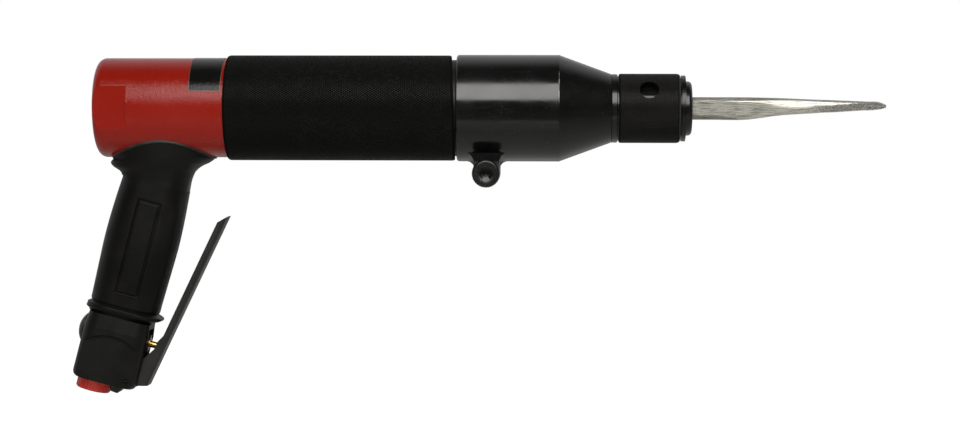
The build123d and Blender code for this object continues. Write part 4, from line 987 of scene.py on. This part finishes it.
# Collar: a rounded rectangle that turns into an oval as it rises from the grip. Each column runs from the
# seam's plane up to the casing. Both ends are found by moving the height there a few times over. The rest
# lies on the casing and in the bore round the boss.
def saddleGrid(look):
    columns, casing, seam = 4 * look["perQuarter"], look["casing"], look["seam"]
    angle = np.abs((np.arange(columns) / look["perQuarter"] + 1) % 2 - 1) * math.pi / 2

    def section(height):
        depth, width, corner, shift = (smoothLine(height, look["heights"], look[name])
                                       for name in ("halfDepths", "halfWidths", "corners", "shifts"))
        forward, sideways, bend, ahead, left = roundedSection(depth, width, corner, look["perQuarter"])
        oval = look["ovalShare"] * softStep(height, *look["ovalRange"])
        forward = forward + oval * (depth * np.sin(angle) - forward)
        sideways = sideways + oval * (width * np.cos(angle) - sideways)
        return ahead * forward + shift, left * sideways

    def onCasing(forward, sideways):
        return np.stack([forward, sideways, -np.sqrt(casing**2 - sideways**2)], axis=-1)

    low, high = np.full(columns, -seam), np.full(columns, -casing)
    for step in range(look["rounds"]):
        low = -(seam + section(low)[0] * handleUp[0]) / handleUp[2]
        high = onCasing(*section(high))[:, 2]
    height = low + np.linspace(0, 1, look["rows"])[:, None] * (high - low)
    outside = np.stack([*section(height), height], axis=-1)

    # Rings about the handle's axis, at a station or where they meet the casing
    turn = np.arctan2(outside[0, :, 1], outside[0] @ handleForward)

    def ring(radius, station):
        return radius * circle(turn, handleForward, toLeft) - np.reshape(station, (-1, 1)) * handleUp

    bossTop = ring(look["boss"], 0.0)
    drop = -np.sqrt(casing**2 - bossTop[:, 1] ** 2)
    bossTop = ring(look["boss"], (bossTop[:, 2] - drop) / handleUp[2])
    share = np.linspace(0, 1, look["casingRows"])[1:, None]
    forward, sideways = (outside[-1, :, i] + share * (bossTop[:, i] - outside[-1, :, i]) for i in (0, 1))
    inside = np.stack([ring(look["boss"], look["bossEnd"]), ring(look["bore"], look["bossEnd"]),
                       ring(look["bore"], seam)])
    points = barrelPoint + np.concatenate([outside, onCasing(forward, sideways), inside])
    return points, ringQuads(len(points), columns, closed=True)[:, ::-1].tolist(), outside[-1]


# Lip: a thin six-sided bead along the line where the collar meets the casing, all of it carrying a painted
# highlight
def lipGrid(look, line, casing):
    along = np.roll(line, -1, axis=0) - np.roll(line, 1, axis=0)
    along = along / np.sqrt((along**2).sum(axis=1, keepdims=True))
    out = line * np.array([0, 1, 1]) / casing
    across = np.cross(along, out)
    angle = (np.arange(look["columns"]) + 0.5) * 2 * math.pi / look["columns"]
    ring = circle(angle, out[:, None, :], across[:, None, :])
    points = barrelPoint + (line + look["outset"] * out)[:, None, :] + look["radius"] * ring
    return points, ringQuads(len(line), look["columns"], closed=True).tolist(), np.ones(points.size // 3)


collarPoints, collarFaces, archLine = saddleGrid(saddleMoulding)
saddleCollar = putPiece("saddleCollar", saddleMoulding, collarPoints, collarFaces)
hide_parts("saddle_collar")
collarLip = putPiece("collarLip", lipBead, *lipGrid(lipBead, archLine, saddleMoulding["casing"]))
print("collar and lip:", len(saddleCollar.data.polygons) + len(collarLip.data.polygons), "quads")


ratingPlate = {
    "body": "root", "sharpAngle": 32,
    "rear": 0.0112, "front": 0.0293,
    "low": math.radians(18.6), "high": math.radians(118),
    "casing": 0.0285,
    "sunk": 0.00005,           # its edge lies this far under the casing's surface
    "rows": 26, "columns": 90,
}
plateLayers = {
    "plateFoil": {"finish": "brightFoil", "slot": "ring_steel", "lift": 0.00010, "inset": 0.0},
    "plateFace": {"finish": "blackEnamel", "slot": "black_paint", "lift": 0.00016, "inset": 0.00034},
}


# Plate: a patch of the casing's cylinder, lifted by its thickness, whose edge rows run down to the casing
def platePatch(look):
    inset, turn = look["inset"], look["inset"] / look["casing"]
    long, wide = (np.linspace(0, 1, look[name]) for name in ("rows", "columns"))
    station = doubledEnds(look["rear"] + inset + long * (look["front"] - look["rear"] - 2 * inset))
    angle = doubledEnds(look["low"] + turn + wide * (look["high"] - look["low"] - 2 * turn))
    radius = np.full((len(station), len(angle)), look["casing"] - look["sunk"])
    radius[1:-1, 1:-1] = look["casing"] + look["lift"]
    index = np.arange(radius.size).reshape(radius.shape)
    quads = np.stack([index[:-1, :-1], index[:-1, 1:], index[1:, 1:], index[1:, :-1]], axis=-1).reshape(-1, 4)
    return aroundBarrel(station[:, None], radius, angle), quads.tolist()


for name, layer in plateLayers.items():
    look = {**ratingPlate, **layer}
    putPiece(name, look, *platePatch(look))
print("bare plate placed")


springCoil = {
    "finish": "plainSteel", "body": "root", "slot": "ring_steel", "sharpAngle": 32,
    "rowsPerTurn": 40, "columns": 14,
}
throttleCoil = {
    **springCoil, "node": "valve_spring", "joint": "valve_push",
    "seat": barrelPoint - 0.1360 * handleUp - 0.01565 * handleForward,
    "direction": handleForward,
    "length": 0.01105, "travel": 0.0026,
    "radius": 0.0038, "wire": 0.0004,
    "turns": 6, "deadTurns": 0.75,   # dead turns lie close, at each end
}
isolatorCoil = {
    **springCoil, "node": "isolator_spring", "joint": "cylinder_float",
    "seat": barrelPoint - (0.0390, 0, 0),
    "direction": np.array([1.0, 0, 0]),
    "length": 0.0186, "travel": 0.0050,
    "radius": 0.0170, "wire": 0.0014,
    "turns": 3, "deadTurns": 0.5,
}


# Coil: a circle carried along a helix that climbs by one wire's thickness a turn at its ends, and evenly
# between them
def coilGrid(look):
    turns, dead, wire, columns = (look[name] for name in ("turns", "deadTurns", "wire", "columns"))
    turn = np.linspace(0, turns, turns * look["rowsPerTurn"] + 1)
    rise, close = look["length"] - 2 * wire, 2 * wire * dead
    climb = np.interp(turn, (0, dead, turns - dead, turns), (0, close, rise - close, rise))
    outward = circle(2 * math.pi * turn, toLeft, np.cross(look["direction"], toLeft))
    line = look["seat"] + look["radius"] * outward + (wire + climb)[:, None] * look["direction"]
    points = line[:, None, :] + wire * circle(fullTurn(columns), outward[:, None, :], look["direction"])
    return points, ringQuads(len(turn), columns).tolist() + endCaps(len(turn), columns)


# Both coils stand on a fixed seat and replace their nodes, and each keeps a copy of its mesh of its own
for name, look in (("throttleCoil", throttleCoil), ("isolatorCoil", isolatorCoil)):
    coil = putPiece(name, look, *coilGrid(look))
    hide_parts(look["node"])
    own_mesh(coil)
print("coils placed")


chiselForm = {
    "finish": "groundSteel", "body": "chisel", "slot": "chisel_steel",
    "share": "forgedShare", "sharpAngle": 28,
    "rear": 0.2220, "rearBevel": 0.0015, "tip": 0.40579,
    "blade": 0.2940,           # the plain shank ends here
    "notchStart": 0.2678, "notchLength": 0.0158, "notchFloor": 0.00485,
    "shankEnds": (0.003, -0.001), "shankRows": 4,   # plain rows from after the notch to before the blade
    # Along the blade, and the section's sizes there. A bevel is a corner's width against its height.
    "stations": (0.2220, 0.3100, 0.3280, 0.3460, 0.3640, 0.3820, 0.3950, 0.4030, 0.40579),
    "thicknesses": (0.0127, 0.0127, 0.0126, 0.0099, 0.0079, 0.0063, 0.00485, 0.0038, 0.0017),
    "widths": (0.0127, 0.0127, 0.0127, 0.0132, 0.0144, 0.0164, 0.0179, 0.0187, 0.0190),
    "corners": (0.0020, 0.0020, 0.0020, 0.0013, 0.0012, 0.0013, 0.0011, 0.0008, 0.0004),
    "bevels": (1.0, 1.0, 1.0, 2.2, 2.6, 2.6, 2.6, 2.6, 2.0),
    "lifts": (0.0, 0.0, 0.0, 0.0010, 0.00125, 0.0014, 0.00155, 0.0015, 0.0012),
    # The lower corner against the upper one, in the socket and ahead of it
    "lowerCorners": (1.0, 0.12), "lowerBevels": (0.45, 0.08), "socketReach": (0.3065, 0.3250),
    "facetStations": (0.2220, 0.3260, 0.3330, 0.3380, 0.3445, 0.3495, 0.3560, 0.3630, 0.3740, 0.3822, 0.3900,
                      0.4058),
    "facetHeights": (0.0007, 0.0007, 0.0010, 0.0021, 0.0037, 0.0045, 0.0044, 0.0040, 0.0030, 0.0016, 0.0002,
                     0.0),
    "facetSlope": 0.38,
    "blendMost": 0.0022, "blendShare": 0.6, "blendLeast": 0.00001,   # over which the facet turns upright
    "sidePoints": 22, "step": 0.0011,
    "sideBias": 1.6,           # the points lie closer together near the top
    # Forged scale: on the upper edge up to the fade, and on the side below the facet from the rise on
    "scaleShare": 0.75, "scaleFade": (0.3300, 0.3480),
    "roughRise": (0.3600, 0.3720), "roughBelow": 0.55, "roughBlend": 0.0007,
}


# Chisel: a chamfered rectangle carried along the barrel's axis. Its half thickness, half width, corner and
# lift follow smooth lines, and below the upper corner the side leans in over a facet whose height swells and
# fades.
def chiselGrid(look):
    rear, blade, tip = (look[name] for name in ("rear", "blade", "tip"))
    notchEnd = look["notchStart"] + look["notchLength"]
    shankStart, shankEnd = notchEnd + look["shankEnds"][0], blade + look["shankEnds"][1]
    station = np.concatenate([[rear, rear + look["rearBevel"]], np.repeat([look["notchStart"], notchEnd], 2),
                              np.linspace(shankStart, shankEnd, look["shankRows"]),
                              np.linspace(blade, tip, round((tip - blade) / look["step"]))])
    cut = np.zeros(len(station), dtype=bool)
    cut[3:5] = True            # the two rows inside the notch, between its doubled ends
    bevel = np.zeros(len(station))
    bevel[0] = look["rearBevel"]

    def along(name, plain, knots="stations"):
        return np.where(station < blade, plain, smoothLine(station, look[knots], look[name]))

    halfThick = along("thicknesses", look["thicknesses"][0]) / 2 - bevel
    halfWide = along("widths", look["widths"][0]) / 2 - bevel
    corner = along("corners", look["corners"][0])
    bevelled = corner * along("bevels", 1)
    facet = np.clip(along("facetHeights", 0, "facetStations"), 0, None)
    ahead = softStep(station, *look["socketReach"])
    lowerCorner, lowerBevel = (corner * (look[name][0] + (look[name][1] - look[name][0]) * ahead)
                               for name in ("lowerCorners", "lowerBevels"))
    side = 2 * halfThick - corner - lowerCorner
    fall = np.linspace(0, 1, look["sidePoints"])[None, :] ** look["sideBias"] * side[:, None]
    above = np.maximum(facet[:, None] - fall, 0)
    blend = np.minimum(look["blendMost"], look["blendShare"] * facet + look["blendLeast"])[:, None]
    lean = look["facetSlope"] * np.where(above < blend, above**2 / (2 * blend), above - blend / 2)
    over = np.hstack([(halfWide - bevelled)[:, None] - lean[:, :1], halfWide[:, None] - lean,
                      (halfWide - lowerBevel)[:, None]])
    high = np.hstack([halfThick[:, None], (halfThick - corner)[:, None] - fall, -halfThick[:, None]])
    high = np.where(cut[:, None], np.minimum(high, look["notchFloor"]), high)
    y = np.hstack([-over, over[:, ::-1]])
    z = np.hstack([high, high[:, ::-1]]) + along("lifts", 0)[:, None]
    x = np.broadcast_to(barrelPoint[0] + station[:, None], y.shape)
    rows, columns = y.shape
    faces = ringQuads(rows, columns)[:, ::-1].tolist() + [face[::-1] for face in endCaps(rows, columns)]

    # How much forged scale each point has left
    rough = (softStep(station, *look["roughRise"])[:, None]
             * softStep(fall - look["roughBelow"] * facet[:, None], 0, look["roughBlend"]))
    scaled = look["scaleShare"] - look["scaleShare"] * softStep(station, *look["scaleFade"])[:, None]
    rough[:, :1] = scaled
    forged = np.hstack([scaled, rough, np.zeros((rows, 1))])
    return np.stack([x, y, axisHeight + z], axis=-1), faces, np.hstack([forged, forged[:, ::-1]])


scalingChisel = putPiece("scalingChisel", chiselForm, *chiselGrid(chiselForm))
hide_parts("chisel")
print("chisel:", len(scalingChisel.data.polygons), "faces")
